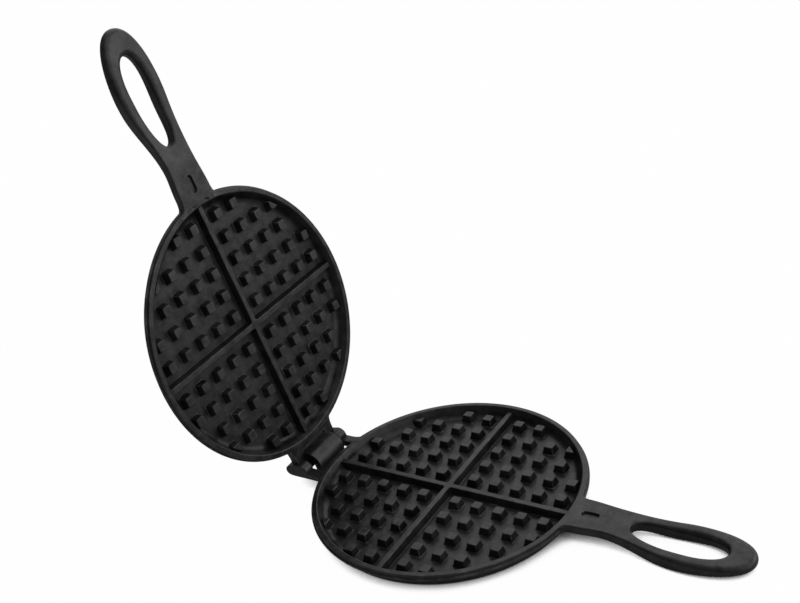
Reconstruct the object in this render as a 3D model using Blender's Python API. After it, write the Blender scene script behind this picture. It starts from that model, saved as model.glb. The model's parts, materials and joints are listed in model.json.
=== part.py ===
"""Round stovetop waffle iron in cast iron, standing open.

Two castings face each other round a hinge pin. Each has a round waffle plate and a loop
handle. Each is modelled in its own casting frame, in metres: the mating face is z = 0 and
looks up, the metal lies below it, the handle points along +X and the hinge lies at -X.
The lower casting then stands on the table at z = 0. The upper one is turned over and
hangs on the hinge axis, opened as far as its stop lets it.
"""

import math

import bmesh
import bpy
from mathutils import Matrix, Vector

MM = 0.001
QUARTER = math.pi / 2
WELD = 0.001 * MM
NEAR = 0.01 * MM

# Plate
RIM_OUTER_RADIUS = 98.2 * MM
RIM_LAND = 3.6 * MM
RIM_INNER_RADIUS = RIM_OUTER_RADIUS - RIM_LAND
BEAD_REACH = 1.1 * MM
BEAD_RADIUS = RIM_OUTER_RADIUS + BEAD_REACH
BEAD_TOP = 2.6 * MM
BEAD_THICKNESS = 1.6 * MM
WALL_RECESS = 2.3 * MM
WALL_TAPER = 1.8 * MM
WAFFLE_DEPTH = 8.4 * MM
FLOOR_THICKNESS = 5.8 * MM
PLATE_DEPTH = WAFFLE_DEPTH + FLOOR_THICKNESS
WALL_DRAFT = math.radians(20)
FLOOR_FILLET = 2.6 * MM
BACK_INSET = 10.2 * MM
BACK_RADIUS = RIM_OUTER_RADIUS - BACK_INSET
BACK_ROUNDING = 7.0 * MM
BACK_ROUNDING_BEND = (0.75, 0.2)
RIM_EDGE_ROUNDING = 0.5 * MM
PLATE_SEGMENTS = 88
ROOT_COVER = 1.0 * MM
ROOT_RADIUS = RIM_INNER_RADIUS + ROOT_COVER

# Waffle pattern
PATTERN_DROP = 2.8 * MM
PEG_PITCH = 17.2 * MM
PEG_FIRST = 13.2 * MM
PEG_TOP = 7.0 * MM
PEG_CENTRE_MARGIN = 2.6 * MM
PEG_REACH = RIM_INNER_RADIUS - PEG_CENTRE_MARGIN
RIB_TOP = 3.8 * MM
PATTERN_DRAFT = math.radians(14)
RIB_CORNER = 1.5 * MM
PATTERN_SINK = 0.5 * MM
PATTERN_WALL_BITE = 1.8 * MM

# Handle, along it from the rim's outer edge
HANDLE_LENGTH = 123.8 * MM
HANDLE_ROOT_WIDTH = 30.2 * MM
HANDLE_ROOT_FILLET = 6.5 * MM
ROOT_FILLET_LENGTH = 1.1
ROOT_FILLET_BEND = (0.25, 0.12)
ROOT_STRAIGHT = 10.0 * MM
WAIST_STRAIGHT = 9.0 * MM
HANDLE_WAIST_WIDTH = 26.8 * MM
HANDLE_WAIST_DISTANCE = 28.8 * MM
HANDLE_BELLY_WIDTH = 40.0 * MM
HANDLE_NOSE = 40.0 * MM
WAIST_FULLNESS = 0.36
BELLY_FULLNESS = 0.31
NOSE_FULLNESS = 0.6
NOSE_BLUNTNESS = 0.62
LOOP_WALL_AT_TIP = 18.6 * MM
FINGER_HOLE_LENGTH = 64.4 * MM
FINGER_HOLE_WIDTH = 20.0 * MM
FINGER_HOLE_BELLY = 24.4 * MM
HOLE_START_BLUNTNESS = 0.8
HOLE_START_FULLNESS = 0.62
HOLE_END_FULLNESS = 0.57
HOLE_END_BLUNTNESS = 0.64
NECK_THICKNESS = 6.4 * MM
LOOP_THICKNESS = 9.4 * MM
LOOP_DROP = 4.4 * MM
DROP_DISTANCE = 19.8 * MM
DROP_LENGTH = 50.0 * MM
TIP_THICKNESS = 6.6 * MM
TIP_TAPER_LENGTH = 60.0 * MM
NECK_ROUNDING = 1.2 * MM
LOOP_ROUNDING = 3.9 * MM
LOOP_UNDER_ROUNDING = 2.2 * MM
ROUNDING_DISTANCE = 30.0 * MM
ROUNDING_LENGTH = 64.0 * MM
ROUNDING_STEPS = 3
POCKET_DISTANCE = 12.1 * MM
POCKET_LENGTH = 12.6 * MM
POCKET_WIDTH = 4.8 * MM
POCKET_DEPTH = 4.0 * MM

# Hinge
HINGE_DISTANCE = 14.6 * MM
AXIS_DROP = 1.0 * MM
OPEN_ANGLE = math.radians(103)
MATING_GAP = 0.3 * MM
PIN_RADIUS = 3.0 * MM
PIN_CLEARANCE = 0.3 * MM
PIN_END_INSET = 0.3 * MM
PIN_SOCKET_DEPTH = 6.0 * MM
PIN_CHAMFER = 0.5 * MM
EAR_GAP_WIDTH = 36.4 * MM
EAR_THICKNESS = 8.0 * MM
EAR_NOSE_REACH = 14.2 * MM
EAR_NOSE_ROUNDING = 3.8 * MM
EAR_NOSE_DROP = 1.02
EAR_UNDER_BEND = (0.9, 0.6)
EAR_UNDER_START = 0.5
ARM_THICKNESS = 5.6 * MM
STOP_DISTANCE = 6.2 * MM
STOP_GAP = 0.3 * MM
NECK_RELIEF = 0.6 * MM
NECK_WIDTH = 46.0 * MM
HINGE_NECK_THICKNESS = 7.4 * MM
NECK_FLARE = 6.0 * MM
FLARE_LENGTH = 1.3
FLARE_BEND = (0.25, 0.15)
HOOK_WIDTH = 29.0 * MM
HOOK_ROOT_OVERLAP = 0.4 * MM
HOOK_OUTER_RADIUS = 10.4 * MM
HOOK_BACK_SHIFT = 1.2 * MM
HOOK_BACK_RISE = 0.6 * MM
HOOK_MOUTH_WIDTH = 9.2 * MM
HOOK_SEAT_GAP = 0.4 * MM
HOOK_LIP_REACH = 9.6 * MM
HOOK_LIP_TURN = math.radians(116)
HOOK_LIP_EDGE = (0.8 * MM, 1.0 * MM)
HOOK_LIP_FRONT_GUIDE = (0.6 * MM, 2.0 * MM)
HOOK_LIP_BACK_GUIDE = (3.0 * MM, 1.4 * MM)
HOOK_NECK_REACH = 1.6 * MM
HOOK_STEP_DISTANCE = 12.2 * MM
HOOK_STEP_HEIGHT = 1.6 * MM
HOOK_STEP_EDGE = 0.5 * MM
HOOK_FILLET_START = math.radians(16)
HOOK_FILLET_GUIDE = 3.0 * MM
HOOK_FILLET_BEND = 0.6 * MM
EDGE_ROUNDING = 1.0 * MM
NECK_BACK_ROUNDING = 2.0 * MM
FLARE_STATIONS = (0.35, 0.6, 0.8, 0.93)

SHARP_ANGLE = math.radians(32)
PIN_SEGMENTS = 32
IRON_COLOUR = (0.028, 0.027, 0.026)
IRON_ROUGHNESS = 0.46
IRON_METALLIC = 0.35
STEEL_COLOUR = (0.035, 0.035, 0.036)
STEEL_ROUGHNESS = 0.38
STEEL_METALLIC = 0.8

# What follows from the sizes above
HANDLE_WAIST_X = RIM_OUTER_RADIUS + HANDLE_WAIST_DISTANCE
HANDLE_TIP_X = RIM_OUTER_RADIUS + HANDLE_LENGTH
HANDLE_BELLY_X = HANDLE_TIP_X - HANDLE_NOSE
FINGER_HOLE_END_X = HANDLE_TIP_X - LOOP_WALL_AT_TIP
FINGER_HOLE_START_X = FINGER_HOLE_END_X - FINGER_HOLE_LENGTH
FINGER_HOLE_BELLY_X = FINGER_HOLE_END_X - FINGER_HOLE_BELLY
DROP_START_X = RIM_OUTER_RADIUS + DROP_DISTANCE
DROP_END_X = DROP_START_X + DROP_LENGTH
TIP_TAPER_X = HANDLE_TIP_X - TIP_TAPER_LENGTH
ROUNDING_START_X = RIM_OUTER_RADIUS + ROUNDING_DISTANCE
ROUNDING_END_X = ROUNDING_START_X + ROUNDING_LENGTH
BEND_STATIONS = (
    *(DROP_START_X + DROP_LENGTH * share for share in (0.15, 0.3, 0.45, 0.6)),
    *(TIP_TAPER_X + TIP_TAPER_LENGTH * share for share in (0.4, 0.78)),
)
POCKET_CENTRE_X = RIM_OUTER_RADIUS + POCKET_DISTANCE
HINGE_REACH = RIM_OUTER_RADIUS + HINGE_DISTANCE
AXIS_BELOW_LOWER_FACE = AXIS_DROP - MATING_GAP / 2
AXIS_ABOVE_UPPER_FACE = AXIS_DROP + MATING_GAP / 2
HINGE_HEIGHT = PLATE_DEPTH - AXIS_BELOW_LOWER_FACE


def clear_scene():
    for obj in list(bpy.data.objects):
        bpy.data.objects.remove(obj, do_unlink=True)


def material(name, colour, roughness, metallic):
    made = bpy.data.materials.new(name)
    made.use_nodes = True
    shader = made.node_tree.nodes["Principled BSDF"]
    shader.inputs["Base Color"].default_value = (*colour, 1.0)
    shader.inputs["Roughness"].default_value = roughness
    shader.inputs["Metallic"].default_value = metallic
    return made


def object_from(bm, name):
    """Closes the edit mesh and links it as an object with its faces outward."""
    bmesh.ops.remove_doubles(bm, verts=bm.verts, dist=WELD)
    bmesh.ops.recalc_face_normals(bm, faces=bm.faces)
    mesh = bpy.data.meshes.new(name)
    bm.to_mesh(mesh)
    bm.free()
    made = bpy.data.objects.new(name, mesh)
    bpy.context.scene.collection.objects.link(made)
    return made


def helper(bm, name):
    """An object that only shapes another one."""
    made = object_from(bm, name)
    made.hide_render = True
    made.display_type = "WIRE"
    return made


def combine(target, tool, operation):
    """Adds the tool to the target, cuts it away, or keeps what they share."""
    tool.parent = target
    cut = target.modifiers.new(operation.lower() + " " + tool.name, "BOOLEAN")
    cut.operation = operation
    cut.solver = "EXACT"
    cut.object = tool


def arc(centre, radius, start, end, steps):
    """Points on an arc, from one angle to another, both ends included."""
    turn = (end - start) / steps
    angles = [start + turn * i for i in range(steps + 1)]
    return [
        (centre[0] + radius * math.cos(a), centre[1] + radius * math.sin(a))
        for a in angles
    ]


def bezier(start, start_handle, end_handle, end, steps):
    """Points on a cubic curve, without its first point."""
    points = []
    for i in range(1, steps + 1):
        t = i / steps
        s = 1 - t
        weights = (s**3, 3 * s * s * t, 3 * s * t * t, t**3)
        corners = (start, start_handle, end_handle, end)
        points.append(
            tuple(sum(w * c[k] for w, c in zip(weights, corners)) for k in (0, 1))
        )
    return points


def smooth(value, start, end):
    """Goes from 0 at start to 1 at end with level ends."""
    t = min(1.0, max(0.0, (value - start) / (end - start)))
    return t * t * (3 - 2 * t)


def prism(outline, low, high, place):
    """A straight solid on a flat outline. place turns (u, v, height) into a point."""
    bm = bmesh.new()
    rings = [[bm.verts.new(place(u, v, h)) for u, v in outline] for h in (low, high)]
    bm.faces.new(rings[0])
    bm.faces.new(rings[1])
    count = len(outline)
    for i in range(count):
        j = (i + 1) % count
        bm.faces.new((rings[0][i], rings[0][j], rings[1][j], rings[1][i]))
    return bm


def plan(x, y, z):
    """Places an outline drawn from above, extruded along Z."""
    return (x, y, z)


def soften(bm, width, segments, wanted):
    """Rounds the edges for which wanted says yes."""
    bmesh.ops.recalc_face_normals(bm, faces=bm.faces)
    edges = [edge for edge in bm.edges if wanted(edge)]
    bmesh.ops.bevel(
        bm,
        geom=edges,
        offset=width,
        segments=segments,
        profile=0.5,
        affect="EDGES",
        clamp_overlap=True,
    )


def plate_outline():
    """Half section of the round plate, from its floor over the rim to its back."""
    bead_bottom = BEAD_TOP + BEAD_THICKNESS
    edge = RIM_EDGE_ROUNDING
    slope = math.tan(WALL_DRAFT)
    wall_foot = RIM_INNER_RADIUS - slope * WAFFLE_DEPTH
    fillet_turn = QUARTER - WALL_DRAFT
    tangent = FLOOR_FILLET * math.tan(fillet_turn / 2)
    centre = (wall_foot - tangent, -WAFFLE_DEPTH + FLOOR_FILLET)
    floor_fillet = arc(centre, FLOOR_FILLET, -QUARTER, -WALL_DRAFT, 3)
    body = RIM_OUTER_RADIUS - WALL_RECESS
    back = (BACK_RADIUS, -PLATE_DEPTH)
    shoulder = (body - WALL_TAPER, -WAFFLE_DEPTH)
    out, rise = (BACK_ROUNDING * share for share in BACK_ROUNDING_BEND)
    middle = (BACK_RADIUS + out, -PLATE_DEPTH + rise)
    back_round = bezier(shoulder, (shoulder[0] - edge, middle[1]), middle, back, 5)
    return [
        *floor_fillet,
        (RIM_INNER_RADIUS - slope * edge, -edge),
        (RIM_INNER_RADIUS + edge, 0.0),
        (RIM_OUTER_RADIUS - edge, 0.0),
        (RIM_OUTER_RADIUS, -edge),
        (RIM_OUTER_RADIUS, -BEAD_TOP),
        (BEAD_RADIUS - edge, -BEAD_TOP),
        (BEAD_RADIUS, -BEAD_TOP - edge),
        (BEAD_RADIUS, -bead_bottom + edge),
        (BEAD_RADIUS - edge, -bead_bottom),
        (body, -bead_bottom),
        shoulder,
        *back_round,
    ]


def plate(name):
    """The round plate, turned from its half section, with flat discs for floor and back."""
    bm = bmesh.new()
    verts = [bm.verts.new((r, 0.0, z)) for r, z in plate_outline()]
    edges = [bm.edges.new(pair) for pair in zip(verts, verts[1:])]
    bmesh.ops.spin(
        bm,
        geom=verts + edges,
        cent=(0, 0, 0),
        axis=(0, 0, 1),
        angle=2 * math.pi,
        steps=PLATE_SEGMENTS,
        use_duplicate=False,
    )
    bmesh.ops.remove_doubles(bm, verts=bm.verts, dist=WELD)
    open_edges = [edge for edge in bm.edges if edge.is_boundary]
    bmesh.ops.holes_fill(bm, edges=open_edges, sides=0)
    return object_from(bm, name)


def frustum(bm, centre, top_sides, turn=0.0):
    """A square-cornered block with drafted sides, from inside the floor to the pattern's top."""
    spread = (WAFFLE_DEPTH + PATTERN_SINK - PATTERN_DROP) * math.tan(PATTERN_DRAFT)
    levels = (
        (-WAFFLE_DEPTH - PATTERN_SINK, spread),
        (-PATTERN_DROP, 0.0),
    )
    turned = Matrix.Rotation(turn, 4, "Z")
    place = Matrix.Translation((*centre, 0.0)) @ turned
    rings = []
    for z, extra in levels:
        half_x = top_sides[0] / 2 + extra
        half_y = top_sides[1] / 2 + extra
        corners = ((-half_x, -half_y), (half_x, -half_y), (half_x, half_y), (-half_x, half_y))
        rings.append([bm.verts.new(place @ Vector((x, y, z))) for x, y in corners])
    bm.faces.new(rings[0][::-1])
    bm.faces.new(rings[1])
    for i in range(4):
        j = (i + 1) % 4
        bm.faces.new((rings[0][i], rings[0][j], rings[1][j], rings[1][i]))


def peg_places():
    """Centres of the pegs, the same in each quarter, as far out as the wall lets them stand."""
    steps = [PEG_FIRST + PEG_PITCH * i for i in range(int(PEG_REACH / PEG_PITCH) + 1)]
    quarter = [(x, y) for x in steps for y in steps if math.hypot(x, y) <= PEG_REACH]
    return [(sx * x, sy * y) for sx in (1, -1) for sy in (1, -1) for x, y in quarter]


def waffle_pattern(name):
    """Pegs and crossed ribs, cut off inside the plate's wall."""
    bm = bmesh.new()
    for centre in peg_places():
        frustum(bm, centre, (PEG_TOP, PEG_TOP))
    pattern = helper(bm, name)
    length = 2 * RIM_OUTER_RADIUS
    ribs = {"along": (length, RIB_TOP), "across": (RIB_TOP, length)}
    for label, sides in ribs.items():
        bm = bmesh.new()
        frustum(bm, (0.0, 0.0), sides)
        combine(pattern, helper(bm, f"{name} rib {label}"), "UNION")
    bm = bmesh.new()
    crossing = (RIB_TOP + RIB_CORNER) * math.sqrt(2)
    frustum(bm, (0.0, 0.0), (crossing, crossing), math.pi / 4)
    combine(pattern, helper(bm, f"{name} rib crossing"), "UNION")
    bm = bmesh.new()
    slope = math.tan(WALL_DRAFT)
    low = WAFFLE_DEPTH + 2 * PATTERN_SINK
    bmesh.ops.create_cone(
        bm,
        cap_ends=True,
        segments=PLATE_SEGMENTS,
        radius1=RIM_INNER_RADIUS + PATTERN_WALL_BITE - slope * low,
        radius2=RIM_INNER_RADIUS + PATTERN_WALL_BITE,
        depth=low,
        matrix=Matrix.Translation((0, 0, -low / 2)),
    )
    combine(pattern, helper(bm, f"{name} wall limit"), "INTERSECT")
    return pattern


def root_arc(foot_y, steps):
    """Plan points inside the rim, where a neck is rooted, from its middle to foot_y."""
    return arc((0.0, 0.0), ROOT_RADIUS, 0.0, math.asin(foot_y / ROOT_RADIUS), steps)


def handle_outline():
    """Outer edge of the handle on the +Y side, from inside the rim to the tip."""
    root = HANDLE_ROOT_WIDTH / 2
    waist = HANDLE_WAIST_WIDTH / 2
    belly = HANDLE_BELLY_WIDTH / 2
    fillet = HANDLE_ROOT_FILLET
    foot_y = root + fillet
    foot_x = math.sqrt(RIM_OUTER_RADIUS**2 - foot_y**2)
    foot = (foot_x - RIM_EDGE_ROUNDING, foot_y)
    join = (foot_x + fillet * ROOT_FILLET_LENGTH, root)
    corner = (foot_x + fillet * ROOT_FILLET_BEND[0], root + fillet * ROOT_FILLET_BEND[1])
    neck_guide = (join[0] + ROOT_STRAIGHT, root)
    waist_guide = (HANDLE_WAIST_X - WAIST_STRAIGHT, waist)
    swell = HANDLE_BELLY_X - HANDLE_WAIST_X
    waist_at = (HANDLE_WAIST_X, waist)
    belly_at = (HANDLE_BELLY_X, belly)
    return [
        *root_arc(foot_y, 4),
        foot,
        *bezier(foot, corner, corner, join, 4),
        *bezier(join, neck_guide, waist_guide, waist_at, 4),
        *bezier(
            waist_at,
            (HANDLE_WAIST_X + swell * WAIST_FULLNESS, waist),
            (HANDLE_BELLY_X - swell * BELLY_FULLNESS, belly),
            belly_at,
            8,
        ),
        *bezier(
            belly_at,
            (HANDLE_BELLY_X + HANDLE_NOSE * NOSE_FULLNESS, belly),
            (HANDLE_TIP_X, belly * NOSE_BLUNTNESS),
            (HANDLE_TIP_X, 0.0),
            9,
        ),
    ]


def finger_hole_outline():
    """Edge of the finger hole on the +Y side, from the neck to the tip."""
    half = FINGER_HOLE_WIDTH / 2
    start = (FINGER_HOLE_START_X, 0.0)
    top = (FINGER_HOLE_BELLY_X, half)
    end = (FINGER_HOLE_END_X, 0.0)
    rise = FINGER_HOLE_BELLY_X - FINGER_HOLE_START_X
    fall = FINGER_HOLE_END_X - FINGER_HOLE_BELLY_X
    start_guide = (start[0], half * HOLE_START_BLUNTNESS)
    rise_guide = (top[0] - rise * HOLE_START_FULLNESS, half)
    fall_guide = (top[0] + fall * HOLE_END_FULLNESS, half)
    end_guide = (end[0], half * HOLE_END_BLUNTNESS)
    return [
        start,
        *bezier(start, start_guide, rise_guide, top, 8),
        *bezier(top, fall_guide, end_guide, end, 7),
    ]


def closed_loop(half):
    """A +Y half outline and its mirror image, run round as one loop."""
    mirrored = [(x, -y) for x, y in reversed(half) if y > WELD]
    return [*half, *mirrored]


def outward_normals(loop):
    """Unit normals of a loop that runs clockwise, seen from above."""
    normals = []
    for i in range(len(loop)):
        before = Vector(loop[i - 1])
        after = Vector(loop[(i + 1) % len(loop)])
        along = (after - before).normalized()
        normals.append(Vector((-along.y, along.x)))
    return normals


def handle_roundings(x):
    """Roundings of the handle's upper and under edges at one place along it."""
    share = smooth(x, ROUNDING_START_X, ROUNDING_END_X)
    upper = NECK_ROUNDING + (LOOP_ROUNDING - NECK_ROUNDING) * share
    under = NECK_ROUNDING + (LOOP_UNDER_ROUNDING - NECK_ROUNDING) * share
    return upper, under


def handle_levels(x):
    """Top and bottom of the handle at one place along it."""
    share = smooth(x, DROP_START_X, DROP_END_X)
    thickness = NECK_THICKNESS + (LOOP_THICKNESS - NECK_THICKNESS) * share
    thickness -= (LOOP_THICKNESS - TIP_THICKNESS) * smooth(x, TIP_TAPER_X, HANDLE_TIP_X)
    top = -LOOP_DROP * share
    return top, top - thickness


def rounded_column(x):
    """(inset, share of the thickness) down a side of the handle, with rounded corners."""
    upper, under = handle_roundings(x)
    top, bottom = handle_levels(x)
    tall = top - bottom
    turns = [QUARTER * i / ROUNDING_STEPS for i in range(ROUNDING_STEPS + 1)]
    column = [(upper * (1 - math.sin(a)), upper * (1 - math.cos(a)) / tall) for a in turns]
    for a in reversed(turns):
        column.append((under * (1 - math.sin(a)), 1 - under * (1 - math.cos(a)) / tall))
    return column


def handle(name):
    """The neck and loop: a flat plate with a hole and rounded edges, then bent to its levels."""
    bm = bmesh.new()
    caps = {0: [], -1: []}
    for loop, side in (
        (closed_loop(handle_outline()), -1),
        (closed_loop(finger_hole_outline()), 1),
    ):
        columns = []
        for (x, y), normal in zip(loop, outward_normals(loop)):
            column = []
            for inset, share in rounded_column(x):
                place = Vector((x, y)) + side * inset * normal
                column.append(bm.verts.new((place.x, place.y, -share)))
            columns.append(column)
        for i, column in enumerate(columns):
            following = columns[(i + 1) % len(columns)]
            for k in range(len(column) - 1):
                quad = (column[k], column[k + 1], following[k + 1], following[k])
                bm.faces.new(quad)
            for end in caps:
                caps[end].append(bm.edges.get((column[end], following[end])))
    for end, edges in caps.items():
        bmesh.ops.triangle_fill(bm, use_beauty=True, use_dissolve=False, edges=edges)
    for x in BEND_STATIONS:
        bmesh.ops.bisect_plane(
            bm,
            geom=bm.verts[:] + bm.edges[:] + bm.faces[:],
            plane_co=(x, 0, 0),
            plane_no=(1, 0, 0),
        )
    for vert in bm.verts:
        top, bottom = handle_levels(vert.co.x)
        vert.co.z = top + vert.co.z * (top - bottom)
    return helper(bm, name)


def neck_pocket(name):
    """Cutter for the shallow pill-shaped pocket in the neck's mating face."""
    half = (POCKET_LENGTH - POCKET_WIDTH) / 2
    radius = POCKET_WIDTH / 2
    right = arc((POCKET_CENTRE_X + half, 0.0), radius, -QUARTER, QUARTER, 6)
    left = arc((POCKET_CENTRE_X - half, 0.0), radius, QUARTER, 3 * QUARTER, 6)
    return helper(prism(right + left, -POCKET_DEPTH, POCKET_DEPTH, plan), name)


def flared_side(half_width, end_x):
    """Plan points of one side of a hinge neck, from its end to the rim it flares into."""
    foot_y = half_width + NECK_FLARE
    foot_x = -math.sqrt(RIM_OUTER_RADIUS**2 - foot_y**2)
    join = (foot_x - NECK_FLARE * FLARE_LENGTH, half_width)
    back, out = (NECK_FLARE * share for share in FLARE_BEND)
    corner = (foot_x - back, half_width + out)
    foot = (foot_x + RIM_EDGE_ROUNDING, foot_y)
    return [(end_x, half_width), join, *bezier(join, corner, corner, foot, 4)]


def ear_outline():
    """Side profile of an arm from the rim to its ear, with the stop face on the nose."""
    stop = STOP_DISTANCE - STOP_GAP
    face = AXIS_BELOW_LOWER_FACE - NECK_RELIEF
    bottom = AXIS_BELOW_LOWER_FACE - ARM_THICKNESS
    crown = arc((0.0, 0.0), stop, math.asin(face / stop), OPEN_ANGLE, 7)
    slide = (-math.sin(OPEN_ANGLE), math.cos(OPEN_ANGLE))
    nose_x = -EAR_NOSE_REACH + EAR_NOSE_ROUNDING
    run = (nose_x - crown[-1][0]) / slide[0]
    nose_top = (nose_x, crown[-1][1] + slide[1] * run)
    nose_centre = (nose_x, nose_top[1] - EAR_NOSE_ROUNDING * EAR_NOSE_DROP)
    nose_front = arc(nose_centre, EAR_NOSE_ROUNDING, OPEN_ANGLE, math.pi, 3)[1:]
    nose_under = bezier(
        nose_front[-1],
        (-EAR_NOSE_REACH, bottom * EAR_UNDER_BEND[1]),
        (-EAR_NOSE_REACH * EAR_UNDER_BEND[0], bottom),
        (-EAR_NOSE_REACH * EAR_UNDER_START, bottom),
        3,
    )
    inner_x = HINGE_REACH - ROOT_RADIUS
    return [
        (inner_x, face),
        *crown,
        nose_top,
        *nose_front,
        *nose_under,
        (inner_x, bottom),
    ]


def at_ear(x, z, y):
    """Places a profile drawn round the hinge axis into the lower casting's frame."""
    return (x - HINGE_REACH, y, z - AXIS_BELOW_LOWER_FACE)


def outline_edges(low, high):
    """Says whether an edge runs along the outline of one of two faces square to Y."""

    def wanted(edge):
        ys = [vert.co.y for vert in edge.verts]
        return any(all(abs(y - side) < NEAR for y in ys) for side in (low, high))

    return wanted


def level_edges(z):
    """Says whether an edge lies at one height."""
    return lambda edge: all(abs(vert.co.z - z) < NEAR for vert in edge.verts)


def widen_to_rim(arm, half_width, flat_side):
    """Flares an arm's outer side where it meets the rim, and ends it inside the rim."""
    foot_y = half_width + NECK_FLARE
    foot_x = -math.sqrt(RIM_OUTER_RADIUS**2 - foot_y**2)
    join_x = foot_x - NECK_FLARE * FLARE_LENGTH
    for share in (0.0, *FLARE_STATIONS, 1.0):
        bmesh.ops.bisect_plane(
            arm,
            geom=arm.verts[:] + arm.edges[:] + arm.faces[:],
            plane_co=(join_x + (foot_x - join_x) * share, 0, 0),
            plane_no=(1, 0, 0),
        )
    end_x = max(vert.co.x for vert in arm.verts)
    for vert in arm.verts:
        at_end = vert.co.x > end_x - NEAR
        side = math.copysign(1.0, vert.co.y)
        share = min(1.0, max(0.0, (vert.co.x - join_x) / (foot_x - join_x)))
        flare = NECK_FLARE * (1 - math.sqrt(1 - share * share))
        reach = (abs(vert.co.y) - flat_side) / (half_width - flat_side)
        vert.co.y += side * flare * reach
        if at_end:
            vert.co.x = -math.sqrt(ROOT_RADIUS**2 - vert.co.y**2)


def hinge_arms(body, name):
    """The lower casting's two arms, each with an ear that has a blind socket for the pin."""
    inner = EAR_GAP_WIDTH / 2
    outer = inner + EAR_THICKNESS
    for side, label in ((1, "far"), (-1, "near")):
        low, high = sorted((side * inner, side * outer))
        arm = prism(ear_outline(), low, high, at_ear)
        soften(arm, EDGE_ROUNDING, 2, outline_edges(low, high))
        widen_to_rim(arm, outer, inner)
        combine(body, helper(arm, f"{name} {label} arm"), "UNION")
    bore = round_bar(PIN_RADIUS + PIN_CLEARANCE, EAR_GAP_WIDTH + 2 * PIN_SOCKET_DEPTH)
    bmesh.ops.translate(bore, verts=bore.verts, vec=at_ear(0, 0, 0))
    combine(body, helper(bore, f"{name} pin sockets"), "DIFFERENCE")


def hook_outline():
    """Side profile of the hook that hangs over the pin, its mouth facing away from the plate."""
    mouth = HOOK_MOUTH_WIDTH / 2
    seat = PIN_RADIUS + HOOK_SEAT_GAP
    bend = arc((seat - mouth, 0.0), mouth, -QUARTER, QUARTER, 8)
    back_centre = (-HOOK_BACK_SHIFT, HOOK_BACK_RISE)
    back = arc(back_centre, HOOK_OUTER_RADIUS, HOOK_LIP_TURN, HOOK_FILLET_START, 9)
    tip = (-HOOK_LIP_REACH, mouth + HOOK_LIP_EDGE[1])
    lip_inside = (-HOOK_LIP_REACH + HOOK_LIP_EDGE[0], mouth)
    lip_slope = (tip[0] + HOOK_LIP_FRONT_GUIDE[0], tip[1] + HOOK_LIP_FRONT_GUIDE[1])
    lip_back = (back[0][0] - HOOK_LIP_BACK_GUIDE[0], back[0][1] - HOOK_LIP_BACK_GUIDE[1])
    lip = [tip, *bezier(tip, lip_slope, lip_back, back[0], 4)]
    face = -AXIS_ABOVE_UPPER_FACE - NECK_RELIEF
    step = face - HOOK_STEP_HEIGHT
    start = back[-1]
    guide = (
        start[0] + HOOK_FILLET_GUIDE * math.sin(HOOK_FILLET_START),
        start[1] - HOOK_FILLET_GUIDE * math.cos(HOOK_FILLET_START),
    )
    fillet_end = (HOOK_STEP_DISTANCE - HOOK_STEP_EDGE, step)
    fillet = bezier(start, guide, (start[0] + HOOK_FILLET_BEND, step), fillet_end, 5)
    inner_x = HINGE_REACH - ROOT_RADIUS
    neck_back = -AXIS_ABOVE_UPPER_FACE - HINGE_NECK_THICKNESS
    return [
        (-HOOK_NECK_REACH, -mouth),
        *bend,
        lip_inside,
        *lip,
        *back[1:],
        *fillet,
        (HOOK_STEP_DISTANCE, face),
        (inner_x, face),
        (inner_x, neck_back),
        (-HOOK_NECK_REACH + NECK_BACK_ROUNDING, neck_back),
        (-HOOK_NECK_REACH, neck_back + NECK_BACK_ROUNDING),
    ]


def at_hook(x, z, y):
    """Places a profile drawn round the hinge axis into the upper casting's frame."""
    return (x - HINGE_REACH, y, z + AXIS_ABOVE_UPPER_FACE)


def hinge_hook(body, name):
    """The upper casting's neck with its two shoulders and the hook between them."""
    half = HOOK_WIDTH / 2
    step = (-HINGE_REACH + HOOK_STEP_DISTANCE, half - HOOK_ROOT_OVERLAP)
    shoulder = (-HINGE_REACH + STOP_DISTANCE, half - HOOK_ROOT_OVERLAP)
    flared = flared_side(NECK_WIDTH / 2, shoulder[0])
    root = [(-x, y) for x, y in reversed(root_arc(NECK_WIDTH / 2 + NECK_FLARE, 5))]
    outline = closed_loop([step, shoulder, *flared, *root])
    neck = prism(outline, -HINGE_NECK_THICKNESS, -NECK_RELIEF, plan)
    soften(neck, NECK_BACK_ROUNDING, 3, level_edges(-HINGE_NECK_THICKNESS))
    combine(body, helper(neck, f"{name} neck"), "UNION")
    hook = prism(hook_outline(), -half, half, at_hook)
    combine(body, helper(hook, f"{name} hook"), "UNION")


def round_bar(radius, length):
    """A bar along Y, centred on the origin."""
    bm = bmesh.new()
    bmesh.ops.create_cone(
        bm,
        cap_ends=True,
        segments=PIN_SEGMENTS,
        radius1=radius,
        radius2=radius,
        depth=length,
        matrix=Matrix.Rotation(QUARTER, 4, "X"),
    )
    return bm


def casting(name):
    """What both halves share: the plate with its waffle pattern, and the handle."""
    body = plate(name)
    combine(body, waffle_pattern(f"{name} pattern"), "UNION")
    combine(body, handle(f"{name} handle"), "UNION")
    combine(body, neck_pocket(f"{name} pocket"), "DIFFERENCE")
    return body


def finish(obj, look):
    obj.data.materials.append(look)
    obj.data.shade_smooth()
    obj.data.set_sharp_from_angle(angle=SHARP_ANGLE)


def seasoned_iron():
    return material("seasoned cast iron", IRON_COLOUR, IRON_ROUGHNESS, IRON_METALLIC)


def black_steel():
    return material("blackened steel", STEEL_COLOUR, STEEL_ROUGHNESS, STEEL_METALLIC)


def lower_half():
    body = casting("lower_half")
    hinge_arms(body, "lower hinge")
    body.location = (0, 0, PLATE_DEPTH)
    finish(body, seasoned_iron())
    return body


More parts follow.
